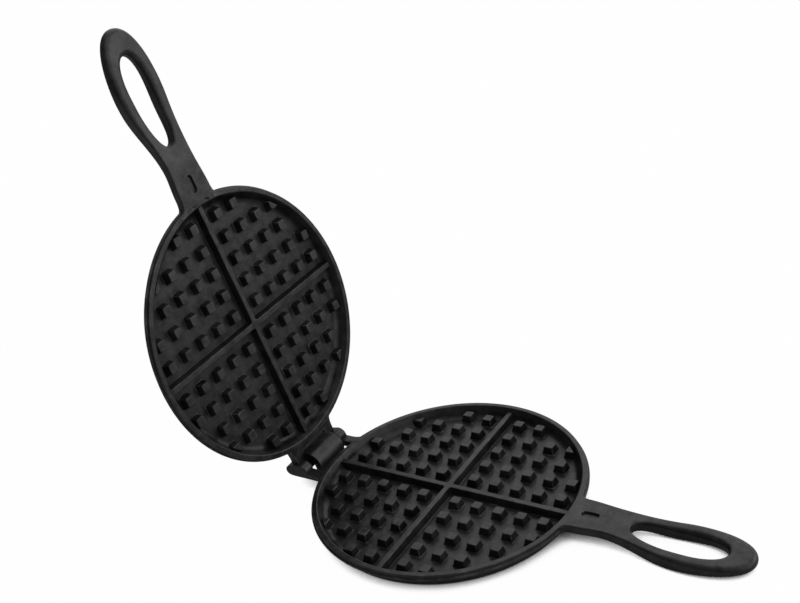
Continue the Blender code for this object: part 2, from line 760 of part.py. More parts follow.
def upper_half(axis):
    body = casting("upper_half")
    hinge_hook(body, "upper hinge")
    body.parent = axis
    body.location = (HINGE_REACH, 0, AXIS_ABOVE_UPPER_FACE)
    body.rotation_euler = (math.pi, 0, 0)
    finish(body, seasoned_iron())
    return body


def hinge_axis():
    """An empty on the hinge axis. Unturned, the iron is closed."""
    axis = bpy.data.objects.new("hinge_axis", None)
    bpy.context.scene.collection.objects.link(axis)
    axis.location = (-HINGE_REACH, 0, HINGE_HEIGHT)
    axis.rotation_euler = (0, -OPEN_ANGLE, 0)
    return axis


def hinge_pin():
    length = EAR_GAP_WIDTH + 2 * (PIN_SOCKET_DEPTH - PIN_END_INSET)
    bar = round_bar(PIN_RADIUS, length)
    soften(bar, PIN_CHAMFER, 1, outline_edges(-length / 2, length / 2))
    pin = object_from(bar, "hinge_pin")
    pin.location = (-HINGE_REACH, 0, HINGE_HEIGHT)
    finish(pin, black_steel())
    return pin


def main():
    clear_scene()
    lower_half()
    upper_half(hinge_axis())
    hinge_pin()


main()
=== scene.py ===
"""Round stovetop waffle iron in seasoned cast iron, standing open on a white table.

Each of the two castings is shaped in its own frame, in metres: the mating face is z = 0 and
looks up, the metal lies below it, the handle points along +X and the hinge lies at -X. The
lower one is then lifted by its depth. The upper one is turned over and swung open about the
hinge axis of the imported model.
"""

import json
import math
from functools import partial

import bmesh
import bpy
from mathutils import Matrix, Vector

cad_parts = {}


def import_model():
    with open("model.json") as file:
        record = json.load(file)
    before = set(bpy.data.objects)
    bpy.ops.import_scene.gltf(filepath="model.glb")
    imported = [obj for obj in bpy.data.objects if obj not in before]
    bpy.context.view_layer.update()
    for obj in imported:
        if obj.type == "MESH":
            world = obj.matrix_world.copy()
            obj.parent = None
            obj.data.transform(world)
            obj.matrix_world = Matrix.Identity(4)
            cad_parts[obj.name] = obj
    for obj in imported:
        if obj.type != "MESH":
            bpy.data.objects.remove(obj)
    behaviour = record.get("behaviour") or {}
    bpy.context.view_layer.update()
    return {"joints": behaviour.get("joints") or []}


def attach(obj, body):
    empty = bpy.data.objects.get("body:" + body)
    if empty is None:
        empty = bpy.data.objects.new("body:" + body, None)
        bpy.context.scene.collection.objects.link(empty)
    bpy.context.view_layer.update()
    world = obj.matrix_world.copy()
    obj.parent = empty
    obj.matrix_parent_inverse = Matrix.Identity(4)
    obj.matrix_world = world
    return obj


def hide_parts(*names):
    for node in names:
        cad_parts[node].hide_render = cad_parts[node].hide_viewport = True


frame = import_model()

bl_info = {
    "name": "Stovetop waffle iron",
    "version": (1, 0, 0),
    "blender": (4, 5, 0),
    "location": "3D View > Sidebar > Waffle iron",
    "description": "Builds a cast iron waffle iron over its packed model, and a studio round it",
    "category": "Add Mesh",
}

MM = 0.001
QUARTER = math.pi / 2

# The hinge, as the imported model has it
HINGE = frame["joints"][0]
AXIS_AT = Vector(HINGE["pos_m"])
HINGE_REACH = -AXIS_AT.x
OPEN_ANGLE = math.radians(HINGE["range_deg"][1])

# Plate
BEAD_REACH = 1.1 * MM
BEAD_TOP = 2.6 * MM
BEAD_THICKNESS = 1.6 * MM
WALL_RECESS = 2.3 * MM
WALL_TAPER = 1.8 * MM
WALL_DRAFT = math.radians(25)
FLOOR_FILLET = 4.8 * MM
BACK_INSET = 10.2 * MM
BACK_ROUNDING = 7.0 * MM
RIM_EDGE_ROUNDING = 0.5 * MM
RIM_INNER_ROUNDING = 0.9 * MM
PLATE_SEGMENTS = 256
ROOT_COVER = 1.0 * MM

# Waffle pattern. A peg is turned by up to the unevenness in radians, and larger or smaller by it
UNEVENNESS = 0.012
FEWEST_PEG_FACES = 1000
PATTERN_DRAFT = math.radians(14)
PATTERN_SINK = 0.3 * MM
PEG_SINK = 0.02 * MM
PATTERN_WALL_BITE = 1.4 * MM
RIB_CORNER = 1.9 * MM

# Handle
HANDLE_ROOT_WIDTH = 30.2 * MM
HANDLE_ROOT_FILLET = 6.5 * MM
HANDLE_WAIST_WIDTH = 26.8 * MM
HANDLE_WAIST_DISTANCE = 28.8 * MM
HANDLE_NOSE = 40.0 * MM
ROOT_CURVE = 10.0 * MM
WAIST_CURVE = 9.0 * MM
LOOP_WALL_AT_TIP = 18.6 * MM
FINGER_HOLE_BELLY = 24.4 * MM
NECK_THICKNESS = 6.4 * MM
LOOP_THICKNESS = 9.4 * MM
LOOP_DROP = 4.4 * MM
DROP_DISTANCE = 19.8 * MM
DROP_LENGTH = 50.0 * MM
TIP_THICKNESS = 6.6 * MM
TIP_TAPER_LENGTH = 60.0 * MM
NECK_ROUNDING = 1.2 * MM
LOOP_ROUNDING = 3.9 * MM
LOOP_UNDER_ROUNDING = 2.2 * MM
ROUNDING_DISTANCE = 30.0 * MM
ROUNDING_LENGTH = 64.0 * MM
ROUNDING_STEPS = 6
BEND_STATION = 2.0 * MM
POCKET_DISTANCE = 12.1 * MM
POCKET_LENGTH = 13.0 * MM
POCKET_WIDTH = 5.4 * MM
POCKET_DEPTH = 1.6 * MM
POCKET_TAPER = 0.28
POCKET_CUT_RISE = 4.0 * MM

# Hinge
MATING_GAP = 0.3 * MM
AXIS_DROP = 1.0 * MM
EAR_GAP_WIDTH = 36.4 * MM
EAR_THICKNESS = 8.0 * MM
EAR_NOSE_REACH = 14.2 * MM
EAR_NOSE_ROUNDING = 3.8 * MM
ARM_THICKNESS = 5.6 * MM
STOP_DISTANCE = 6.2 * MM
STOP_GAP = 0.3 * MM
NECK_RELIEF = 0.6 * MM
NECK_WIDTH = 46.0 * MM
HINGE_NECK_THICKNESS = 7.4 * MM
NECK_FLARE = 6.0 * MM
HOOK_ROOT_OVERLAP = 0.4 * MM
HOOK_OUTER_RADIUS = 10.4 * MM
HOOK_BACK_SHIFT = 1.2 * MM
HOOK_BACK_RISE = 0.6 * MM
HOOK_MOUTH_WIDTH = 9.2 * MM
HOOK_SEAT_GAP = 0.4 * MM
HOOK_LIP_REACH = 9.6 * MM
HOOK_LIP_TURN = math.radians(116)
HOOK_NECK_REACH = 1.6 * MM
HOOK_STEP_DISTANCE = 12.2 * MM
HOOK_STEP_HEIGHT = 1.6 * MM
HOOK_FILLET_START = math.radians(16)
HOOK_STEP_ROUNDING = 0.7 * MM
HOOK_STEP_LANDING = 0.5 * MM
HOOK_TIP_BEVEL = (0.8 * MM, 1.0 * MM)
HOOK_TIP_CURVE = (0.6 * MM, 2.0 * MM)
HOOK_LIP_CURVE = (3.0 * MM, 1.4 * MM)
HOOK_FILLET_CURVE = (3.0 * MM, 0.6 * MM)
EDGE_ROUNDING = 1.0 * MM
NECK_BACK_ROUNDING = 0.9 * MM
FLARE_STATIONS = (0.2, 0.35, 0.5, 0.62, 0.72, 0.8, 0.87, 0.93, 0.97)

PIN_CLEARANCE = 0.3 * MM
PIN_END_ROUNDING = 0.8 * MM
BAR_SEGMENTS = 64
PIN_END_INSET = 0.3 * MM
PIN_SOCKET_DEPTH = 6.0 * MM

SHARP_ANGLE = math.radians(34)

# How close points must lie to count as one, or as level with a face
SAME_POINT = 0.001 * MM
LEVEL_WITHIN = 0.01 * MM
SPIN_MERGE = 0.02 * MM

# The castings' skin: sizes of its patches, how wide edges rub, and how far the painted shade in
# corners reaches
FILM_PATCH = 28 * MM
RUBBED_PATCH = 12 * MM
SHEEN_PATCH = 14 * MM
OILY_PATCH = 7 * MM
SWELL_PATCH = 11 * MM
RUBBED_WIDTH = 0.9 * MM
CORNER_SHADE_REACH = 13 * MM

# The pin's skin: width of its drawing streaks and size of its blotches
STREAK_WIDTH = 0.9 * MM
BLOTCH = 6 * MM

# Kinds of node that are used over and over, and the setting that eases a spread at both ends
MATH = "ShaderNodeMath"
VECTOR_MATH = "ShaderNodeVectorMath"
COMBINE = "ShaderNodeCombineXYZ"
NOISE = "ShaderNodeTexNoise"
SPREAD = "ShaderNodeMapRange"
NEARNESS = "ShaderNodeAmbientOcclusion"
BUMP = "ShaderNodeBump"
SET_POSITION = "GeometryNodeSetPosition"
RANDOM = "FunctionNodeRandomValue"
EASED = {"interpolation_type": "SMOOTHSTEP"}
SOCKET_KINDS = {
    float: "NodeSocketFloat",
    int: "NodeSocketInt",
    bpy.types.Material: "NodeSocketMaterial",
}

# Studio: the room's bright side, how far a shadow spreads, and how far the table reaches
BRIGHT_SIDE = (0.6, 0.75, 0.28)
SHADOW_REACH = 30 * MM
TABLE_MIDDLE = (0.0, 3.4, -0.2 * MM)
TABLE_HALF = 4.0
LAMPS_AIM_AT = Vector((0.0, 0.0, 0.1))
WHITE = (1.0, 1.0, 1.0, 1.0)

AXIS_BELOW_LOWER_FACE = AXIS_DROP - MATING_GAP / 2
AXIS_ABOVE_UPPER_FACE = AXIS_DROP + MATING_GAP / 2


def linear(hex_colour):
    """An sRGB hex colour as linear red, green and blue."""
    channels = [int(hex_colour[i : i + 2], 16) / 255 for i in (1, 3, 5)]
    return tuple(
        c / 12.92 if c <= 0.04045 else ((c + 0.055) / 1.055) ** 2.4 for c in channels
    )


def length(name, description, default):
    return bpy.props.FloatProperty(
        name=name,
        description=description,
        default=default,
        min=0.0,
        unit="LENGTH",
        precision=4,
    )


def colour(name, description, hex_colour):
    return bpy.props.FloatVectorProperty(
        name=name,
        description=description,
        default=linear(hex_colour),
        size=3,
        min=0.0,
        max=1.0,
        subtype="COLOR",
    )


def light(name, description, default, unit="NONE"):
    return bpy.props.FloatProperty(
        name=name, description=description, default=default, min=0.0, unit=unit
    )


class WaffleIronSizes(bpy.types.PropertyGroup):
    """Sizes of the castings and their pin, in metres."""

    rim_radius: length("Rim radius", "Outer radius of the rim's flat land", 98.2 * MM)
    rim_land: length("Rim land", "Width of the rim's flat land", 3.6 * MM)
    waffle_depth: length("Waffle depth", "From the mating face to the floor", 8.4 * MM)
    floor_thickness: length("Floor", "Thickness of the plate under its floor", 5.8 * MM)
    pattern_drop: length("Pattern drop", "Peg and rib tops below the mating face", 2.8 * MM)
    peg_pitch: length("Peg pitch", "Distance from peg to peg", 17.2 * MM)
    peg_first: length("First peg", "From a rib's middle to the first peg's", 13.2 * MM)
    peg_top: length("Peg top", "Side of a peg's square top", 6.7 * MM)
    peg_reach: length("Peg reach", "How far out a peg's centre may lie", 92.0 * MM)
    peg_limit: length("Peg limit", "Radius at which the wall cuts pegs off", 91.9 * MM)
    peg_edge: length("Peg edge", "Rounding of a peg's top edges", 0.35 * MM)
    peg_foot: length("Peg foot", "Fillet round a peg's foot", 0.4 * MM)
    rib_top: length("Rib top", "Width of a rib's top", 3.8 * MM)
    handle_length: length("Handle", "From the rim to the tip of the handle", 123.6 * MM)
    loop_width: length("Loop width", "Widest part of the handle's loop", 40.0 * MM)
    hole_length: length("Finger hole length", "Along the handle", 64.4 * MM)
    hole_width: length("Finger hole width", "Across the handle", 20.0 * MM)
    hook_width: length("Hook width", "Width of the hook over the pin", 29.0 * MM)
    pin_radius: length("Pin radius", "Radius of the hinge pin", 3.0 * MM)

    @property
    def rim_inner(self):
        return self.rim_radius - self.rim_land

    @property
    def plate_depth(self):
        return self.waffle_depth + self.floor_thickness

    @property
    def root_radius(self):
        return self.rim_inner + ROOT_COVER


class WaffleIronFinish(bpy.types.PropertyGroup):
    """Colours and sheen of the metals."""

    iron: colour("Iron", "Seasoned iron where the film is thick", "#131313")
    iron_light: colour("Worn iron", "Seasoned iron where the film is thin", "#1f1f1e")
    edge: colour("Edge", "Iron showing grey on rubbed edges", "#807f7e")
    pin: colour("Pin", "Blackened steel of the pin", "#2c2c2c")
    grain: length("Casting grain", "Size of the sand grain in the skin", 1.3 * MM)


class StudioSettings(bpy.types.PropertyGroup):
    """Table, lamps and the light from the room."""

    floor: colour("Table", "Colour of the table", "#b8b8b8")
    lamp_power: light("Back lamp", "The big soft lamp behind the iron", 2.0, "POWER")
    low_lamp_power: light("Low lamp", "The low soft lamp behind, on the right", 1.5, "POWER")
    sky: light("Room light", "Strength of the light from the room's bright back", 0.9)
    sky_front: light("Front light", "Strength of the light from the room's dim front", 0.155)


def arc(centre, radius, start, end, steps):
    """Points on an arc, from one angle to another, both ends included."""
    turn = (end - start) / steps
    angles = [start + turn * i for i in range(steps + 1)]
    return [
        (centre[0] + radius * math.cos(a), centre[1] + radius * math.sin(a))
        for a in angles
    ]


def bezier(start, start_handle, end_handle, end, steps):
    """Points on a cubic curve, without its first point."""
    points = []
    for i in range(1, steps + 1):
        t = i / steps
        s = 1 - t
        weights = (s**3, 3 * s * s * t, 3 * s * t * t, t**3)
        corners = (start, start_handle, end_handle, end)
        points.append(
            tuple(sum(w * c[k] for w, c in zip(weights, corners)) for k in (0, 1))
        )
    return points


def smooth(value, start, end):
    """Goes from 0 at start to 1 at end with level ends."""
    t = min(1.0, max(0.0, (value - start) / (end - start)))
    return t * t * (3 - 2 * t)


def rounded(outline, corners, steps):
    """The outline with an arc in place of each corner that corners gives a radius for."""
    points = []
    for i, at in enumerate(outline):
        radius = corners.get(i)
        if not radius:
            points.append(at)
            continue
        here = Vector(at)
        before = (Vector(outline[i - 1]) - here).normalized()
        after = (Vector(outline[(i + 1) % len(outline)]) - here).normalized()
        half = before.angle(after) / 2
        centre = here + (before + after).normalized() * radius / math.sin(half)
        first = here + before * radius / math.tan(half) - centre
        turn = first.angle_signed(here + after * radius / math.tan(half) - centre)
        for k in range(steps + 1):
            spoke = first.copy()
            spoke.rotate(Matrix.Rotation(-turn * k / steps, 2))
            points.append(tuple(centre + spoke))
    return points


def skin(bm, rings):
    """Faces between each ring of points and the next."""
    for ring, following in zip(rings, rings[1:]):
        for i in range(len(ring)):
            j = (i + 1) % len(ring)
            bm.faces.new((ring[i], ring[j], following[j], following[i]))


def prism(outline, low, high, place):
    """A straight solid on a flat outline. place turns (u, v, height) into a point."""
    bm = bmesh.new()
    rings = [[bm.verts.new(place(u, v, h)) for u, v in outline] for h in (low, high)]
    bm.faces.new(rings[0])
    bm.faces.new(rings[1])
    skin(bm, rings)
    return bm


def plan(x, y, z):
    """Places an outline drawn from above, extruded along Z."""
    return (x, y, z)


def sliced(bm, x):
    """Adds edges where a plane square to X crosses the mesh."""
    parts = bm.verts[:] + bm.edges[:] + bm.faces[:]
    bmesh.ops.bisect_plane(bm, geom=parts, plane_co=(x, 0, 0), plane_no=(1, 0, 0))


def soften(bm, width, segments, wanted):
    """Rounds the edges for which wanted says yes."""
    bmesh.ops.recalc_face_normals(bm, faces=bm.faces)
    edges = [edge for edge in bm.edges if wanted(edge)]
    shape = {"profile": 0.5, "affect": "EDGES", "clamp_overlap": True}
    bmesh.ops.bevel(bm, geom=edges, offset=width, segments=segments, **shape)


def linked(name, data):
    """A new object in the scene."""
    made = bpy.data.objects.new(name, data)
    bpy.context.scene.collection.objects.link(made)
    return made


def object_from(bm, name):
    """Closes the edit mesh and makes it an object with its faces outward."""
    bmesh.ops.remove_doubles(bm, verts=bm.verts, dist=SAME_POINT)
    bmesh.ops.recalc_face_normals(bm, faces=bm.faces)
    mesh = bpy.data.meshes.new(name)
    bm.to_mesh(mesh)
    bm.free()
    return linked(name, mesh)


def baked(obj, name):
    """A plain mesh object of what obj's modifiers make. obj is removed."""
    graph = bpy.context.evaluated_depsgraph_get()
    mesh = bpy.data.meshes.new_from_object(obj.evaluated_get(graph))
    bpy.data.objects.remove(obj)
    mesh.name = name
    return linked(name, mesh)


def combined(target, tool, operation):
    """The target with the tool added or cut away. Both are used up."""
    name = target.name
    cut = target.modifiers.new(operation.lower(), "BOOLEAN")
    cut.operation = operation
    cut.solver = "EXACT"
    cut.object = tool
    bpy.context.view_layer.update()
    made = baked(target, name)
    bpy.data.objects.remove(tool)
    return made


def finished(obj, name, metal):
    """The piece with its metal on, smooth over its roundings and crisp where forms meet."""
    mesh = obj.data
    mesh.materials.clear()
    mesh.materials.append(metal)
    mesh.shade_smooth()
    mesh.set_sharp_from_angle(angle=SHARP_ANGLE)
    weigh = obj.modifiers.new("face weights", "WEIGHTED_NORMAL")
    weigh.keep_sharp = True
    bpy.context.view_layer.update()
    return baked(obj, name)


def plate_outline(sizes):
    """Half section of the round plate, from its floor over the rim to its back."""
    depth = sizes.waffle_depth
    bead_bottom = BEAD_TOP + BEAD_THICKNESS
    bead = sizes.rim_radius + BEAD_REACH
    slope = math.tan(WALL_DRAFT)
    wall_foot = sizes.rim_inner - slope * depth
    body = sizes.rim_radius - WALL_RECESS
    back = sizes.rim_radius - BACK_INSET
    shoulder = (body - WALL_TAPER, -depth)
    corners = [
        (wall_foot - 2 * FLOOR_FILLET, -depth),
        (wall_foot, -depth),
        (sizes.rim_inner, 0.0),
        (sizes.rim_radius, 0.0),
        (sizes.rim_radius, -BEAD_TOP),
        (bead, -BEAD_TOP),
        (bead, -bead_bottom),
        (body, -bead_bottom),
        shoulder,
    ]
    edge = RIM_EDGE_ROUNDING
    radii = {1: FLOOR_FILLET, 2: RIM_INNER_ROUNDING, 3: edge, 4: edge, 5: edge, 6: edge, 7: edge}
    middle = (back + BACK_ROUNDING * 0.75, -sizes.plate_depth + BACK_ROUNDING * 0.2)
    return [
        *rounded(corners, radii, 6),
        *bezier(
            shoulder,
            (shoulder[0] - edge, middle[1]),
            middle,
            (back, -sizes.plate_depth),
            12,
        ),
    ]


def plate(sizes):
    """The round plate, turned from its half section, with flat discs for floor and back."""
    bm = bmesh.new()
    verts = [bm.verts.new((r, 0.0, z)) for r, z in plate_outline(sizes)]
    edges = [bm.edges.new(pair) for pair in zip(verts, verts[1:])]
    turn = {"cent": (0, 0, 0), "axis": (0, 0, 1), "angle": 2 * math.pi}
    bmesh.ops.spin(bm, geom=verts + edges, steps=PLATE_SEGMENTS, use_duplicate=False, **turn)
    bmesh.ops.remove_doubles(bm, verts=bm.verts, dist=SPIN_MERGE)
    open_edges = [edge for edge in bm.edges if edge.is_boundary]
    bmesh.ops.holes_fill(bm, edges=open_edges, sides=0)
    return object_from(bm, "plate")


def root_arc(sizes, foot_y, steps):
    """Plan points inside the rim, where a neck is rooted, from its middle to foot_y."""
    reach = sizes.root_radius
    return arc((0.0, 0.0), reach, 0.0, math.asin(foot_y / reach), steps)


def handle_outline(sizes):
    """Outer edge of the handle on the +Y side, from inside the rim to the tip."""
    root = HANDLE_ROOT_WIDTH / 2
    waist = HANDLE_WAIST_WIDTH / 2
    belly = sizes.loop_width / 2
    fillet = HANDLE_ROOT_FILLET
    foot_y = root + fillet
    foot_x = math.sqrt(sizes.rim_radius**2 - foot_y**2)
    foot = (foot_x - RIM_EDGE_ROUNDING, foot_y)
    join = (foot_x + fillet * 1.1, root)
    corner = (foot_x + fillet * 0.25, root + fillet * 0.12)
    waist_x = sizes.rim_radius + HANDLE_WAIST_DISTANCE
    tip_x = sizes.rim_radius + sizes.handle_length
    belly_x = tip_x - HANDLE_NOSE
    swell = belly_x - waist_x
    waist_at = (waist_x, waist)
    belly_at = (belly_x, belly)
    return [
        *root_arc(sizes, foot_y, 8),
        foot,
        *bezier(foot, corner, corner, join, 8),
        *bezier(
            join, (join[0] + ROOT_CURVE, root), (waist_x - WAIST_CURVE, waist), waist_at, 10
        ),
        *bezier(
            waist_at,
            (waist_x + swell * 0.36, waist),
            (belly_x - swell * 0.31, belly),
            belly_at,
            26,
        ),
        *bezier(
            belly_at,
            (belly_x + HANDLE_NOSE * 0.6, belly),
            (tip_x, belly * 0.62),
            (tip_x, 0.0),
            26,
        ),
    ]


def finger_hole_outline(sizes):
    """Edge of the finger hole on the +Y side, from the neck to the tip."""
    half = sizes.hole_width / 2
    end_x = sizes.rim_radius + sizes.handle_length - LOOP_WALL_AT_TIP
    start = (end_x - sizes.hole_length, 0.0)
    top = (end_x - FINGER_HOLE_BELLY, half)
    end = (end_x, 0.0)
    rise = top[0] - start[0]
    fall = end[0] - top[0]
    return [
        start,
        *bezier(start, (start[0], half * 0.8), (top[0] - rise * 0.62, half), top, 26),
        *bezier(top, (top[0] + fall * 0.57, half), (end[0], half * 0.64), end, 18),
    ]


def closed_loop(half):
    """A +Y half outline and its mirror image, run round as one loop."""
    mirrored = [(x, -y) for x, y in reversed(half) if y > SAME_POINT]
    return [*half, *mirrored]


def outward_normals(loop):
    """Unit normals of a loop that runs clockwise, seen from above."""
    normals = []
    for i in range(len(loop)):
        before = Vector(loop[i - 1])
        after = Vector(loop[(i + 1) % len(loop)])
        along = (after - before).normalized()
        normals.append(Vector((-along.y, along.x)))
    return normals


def handle_roundings(sizes, x):
    """Roundings of the handle's upper and under edges at one place along it."""
    start = sizes.rim_radius + ROUNDING_DISTANCE
    share = smooth(x, start, start + ROUNDING_LENGTH)
    upper = NECK_ROUNDING + (LOOP_ROUNDING - NECK_ROUNDING) * share
    under = NECK_ROUNDING + (LOOP_UNDER_ROUNDING - NECK_ROUNDING) * share
    return upper, under


def handle_levels(sizes, x):
    """Top and bottom of the handle at one place along it."""
    start = sizes.rim_radius + DROP_DISTANCE
    tip = sizes.rim_radius + sizes.handle_length
    share = smooth(x, start, start + DROP_LENGTH)
    thickness = NECK_THICKNESS + (LOOP_THICKNESS - NECK_THICKNESS) * share
    thickness -= (LOOP_THICKNESS - TIP_THICKNESS) * smooth(x, tip - TIP_TAPER_LENGTH, tip)
    top = -LOOP_DROP * share
    return top, top - thickness


def rounded_column(sizes, x):
    """(inset, share of the thickness) down a side of the handle, with rounded corners."""
    upper, under = handle_roundings(sizes, x)
    top, bottom = handle_levels(sizes, x)
    tall = top - bottom
    turns = [QUARTER * i / ROUNDING_STEPS for i in range(ROUNDING_STEPS + 1)]
    column = [(upper * (1 - math.sin(a)), upper * (1 - math.cos(a)) / tall) for a in turns]
    for a in reversed(turns):
        column.append((under * (1 - math.sin(a)), 1 - under * (1 - math.cos(a)) / tall))
    return column


def handle(sizes):
    """The neck and loop: a flat plate with a hole and rounded edges, then bent to its levels."""
    bm = bmesh.new()
    caps = {0: [], -1: []}
    for loop, side in (
        (closed_loop(handle_outline(sizes)), -1),
        (closed_loop(finger_hole_outline(sizes)), 1),
    ):
        columns = []
        for (x, y), normal in zip(loop, outward_normals(loop)):
            column = []
            for inset, down in rounded_column(sizes, x):
                place = Vector((x, y)) + side * inset * normal
                column.append(bm.verts.new((place.x, place.y, -down)))
            columns.append(column)
        for i, column in enumerate(columns):
            following = columns[(i + 1) % len(columns)]
            for k in range(len(column) - 1):
                quad = (column[k], column[k + 1], following[k + 1], following[k])
                bm.faces.new(quad)
            for end in caps:
                caps[end].append(bm.edges.get((column[end], following[end])))
    for end, edges in caps.items():
        bmesh.ops.triangle_fill(bm, use_beauty=True, use_dissolve=False, edges=edges)
    x = sizes.rim_radius + DROP_DISTANCE
    while x < sizes.rim_radius + sizes.handle_length - HANDLE_NOSE / 4:
        sliced(bm, x)
        x += BEND_STATION
    for vert in bm.verts:
        top, bottom = handle_levels(sizes, vert.co.x)
        vert.co.z = top + vert.co.z * (top - bottom)
    return object_from(bm, "handle")


def neck_pocket(sizes):
    """Cutter for the shallow pill-shaped pocket in the neck's mating face."""
    centre_x = sizes.rim_radius + POCKET_DISTANCE
    half = (POCKET_LENGTH - POCKET_WIDTH) / 2
    radius = POCKET_WIDTH / 2
    right = arc((centre_x + half, 0.0), radius, -QUARTER, QUARTER, 16)
    left = arc((centre_x - half, 0.0), radius, QUARTER, 3 * QUARTER, 16)
    cutter = prism(right + left, -POCKET_DEPTH, POCKET_CUT_RISE, plan)
    for vert in cutter.verts:
        spine_x = min(max(vert.co.x, centre_x - half), centre_x + half)
        spread = 1 + POCKET_TAPER * vert.co.z / POCKET_DEPTH
        vert.co.x = spine_x + (vert.co.x - spine_x) * spread
        vert.co.y *= spread
    return object_from(cutter, "pocket")


def at_ear(x, z, y):
    """Places a profile drawn round the hinge axis into the lower casting's frame."""
    return (x - HINGE_REACH, y, z - AXIS_BELOW_LOWER_FACE)


def at_hook(x, z, y):
    """Places a profile drawn round the hinge axis into the upper casting's frame."""
    return (x - HINGE_REACH, y, z + AXIS_ABOVE_UPPER_FACE)


def ear_outline(sizes):
    """Side profile of an arm from the rim to its ear, with the stop face on the nose."""
    stop = STOP_DISTANCE - STOP_GAP
    face = AXIS_BELOW_LOWER_FACE - NECK_RELIEF
    bottom = AXIS_BELOW_LOWER_FACE - ARM_THICKNESS
    crown = arc((0.0, 0.0), stop, math.asin(face / stop), OPEN_ANGLE, 18)
    slide = (-math.sin(OPEN_ANGLE), math.cos(OPEN_ANGLE))
    nose_x = -EAR_NOSE_REACH + EAR_NOSE_ROUNDING
    run = (nose_x - crown[-1][0]) / slide[0]
    nose_top = (nose_x, crown[-1][1] + slide[1] * run)
    nose_centre = (nose_x, nose_top[1] - EAR_NOSE_ROUNDING * 1.02)
    nose_front = arc(nose_centre, EAR_NOSE_ROUNDING, OPEN_ANGLE, math.pi, 7)[1:]
    nose_under = bezier(
        nose_front[-1],
        (-EAR_NOSE_REACH, bottom * 0.6),
        (-EAR_NOSE_REACH * 0.9, bottom),
        (-EAR_NOSE_REACH * 0.5, bottom),
        8,
    )
    inner_x = HINGE_REACH - sizes.root_radius
    return [
        (inner_x, face),
        *crown,
        nose_top,
        *nose_front,
        *nose_under,
        (inner_x, bottom),
    ]


def outline_edges(low, high):
    """Says whether an edge runs along the outline of one of two faces square to Y."""

    def wanted(edge):
        ys = [vert.co.y for vert in edge.verts]
        return any(all(abs(y - side) < LEVEL_WITHIN for y in ys) for side in (low, high))

    return wanted


def level_edges(z):
    """Says whether an edge lies at one height."""
    return lambda edge: all(abs(vert.co.z - z) < LEVEL_WITHIN for vert in edge.verts)


def widen_to_rim(sizes, arm, half_width, flat_side):
    """Flares an arm's outer side where it meets the rim, and ends it inside the rim."""
    foot_y = half_width + NECK_FLARE
    foot_x = -math.sqrt(sizes.rim_radius**2 - foot_y**2)
    join_x = foot_x - NECK_FLARE * 1.3
    for share in (0.0, *FLARE_STATIONS, 1.0):
        sliced(arm, join_x + (foot_x - join_x) * share)
    end_x = max(vert.co.x for vert in arm.verts)
    for vert in arm.verts:
        at_end = vert.co.x > end_x - LEVEL_WITHIN
        side = math.copysign(1.0, vert.co.y)
        share = min(1.0, max(0.0, (vert.co.x - join_x) / (foot_x - join_x)))
        flare = NECK_FLARE * (1 - math.sqrt(1 - share * share))
        reach = (abs(vert.co.y) - flat_side) / (half_width - flat_side)
        vert.co.y += side * flare * reach
        if at_end:
            vert.co.x = -math.sqrt(sizes.root_radius**2 - vert.co.y**2)


def hook_outline(sizes):
    """Side profile of the hook that hangs over the pin, its mouth facing away from the plate."""
    mouth = HOOK_MOUTH_WIDTH / 2
    seat = sizes.pin_radius + HOOK_SEAT_GAP
    bend = arc((seat - mouth, 0.0), mouth, -QUARTER, QUARTER, 20)
    back_centre = (-HOOK_BACK_SHIFT, HOOK_BACK_RISE)
    back = arc(back_centre, HOOK_OUTER_RADIUS, HOOK_LIP_TURN, HOOK_FILLET_START, 26)
    tip = (-HOOK_LIP_REACH, mouth + HOOK_TIP_BEVEL[1])
    lip_inside = (-HOOK_LIP_REACH + HOOK_TIP_BEVEL[0], mouth)
    lip_slope = (tip[0] + HOOK_TIP_CURVE[0], tip[1] + HOOK_TIP_CURVE[1])
    lip_back = (back[0][0] - HOOK_LIP_CURVE[0], back[0][1] - HOOK_LIP_CURVE[1])
    lip = [tip, *bezier(tip, lip_slope, lip_back, back[0], 10)]
    face = -AXIS_ABOVE_UPPER_FACE - NECK_RELIEF
    step = face - HOOK_STEP_HEIGHT
    start = back[-1]
    slide = (math.sin(HOOK_FILLET_START), -math.cos(HOOK_FILLET_START))
    guide = tuple(start[k] + HOOK_FILLET_CURVE[0] * slide[k] for k in (0, 1))
    fillet_end = (HOOK_STEP_DISTANCE - HOOK_STEP_LANDING, step)
    fillet = bezier(start, guide, (start[0] + HOOK_FILLET_CURVE[1], step), fillet_end, 12)
    inner_x = HINGE_REACH - sizes.root_radius
    neck_back = -AXIS_ABOVE_UPPER_FACE - HINGE_NECK_THICKNESS
    step_edge = [fillet[-1], (HOOK_STEP_DISTANCE, face), (inner_x, face), (inner_x, neck_back)]
    return [
        (-HOOK_NECK_REACH, -mouth),
        *bend,
        lip_inside,
        *lip,
        *back[1:],
        *fillet[:-1],
        *rounded(step_edge, {1: HOOK_STEP_ROUNDING}, 5),
        (-HOOK_NECK_REACH + NECK_BACK_ROUNDING, neck_back),
        (-HOOK_NECK_REACH, neck_back + NECK_BACK_ROUNDING),
    ]


def flared_side(sizes, half_width, end_x):
    """Plan points of one side of a hinge neck, from its end to the rim it flares into."""
    foot_y = half_width + NECK_FLARE
    foot_x = -math.sqrt(sizes.rim_radius**2 - foot_y**2)
    join = (foot_x - NECK_FLARE * 1.3, half_width)
    corner = (foot_x - NECK_FLARE * 0.25, half_width + NECK_FLARE * 0.15)
    foot = (foot_x + RIM_EDGE_ROUNDING, foot_y)
    return [(end_x, half_width), join, *bezier(join, corner, corner, foot, 12)]


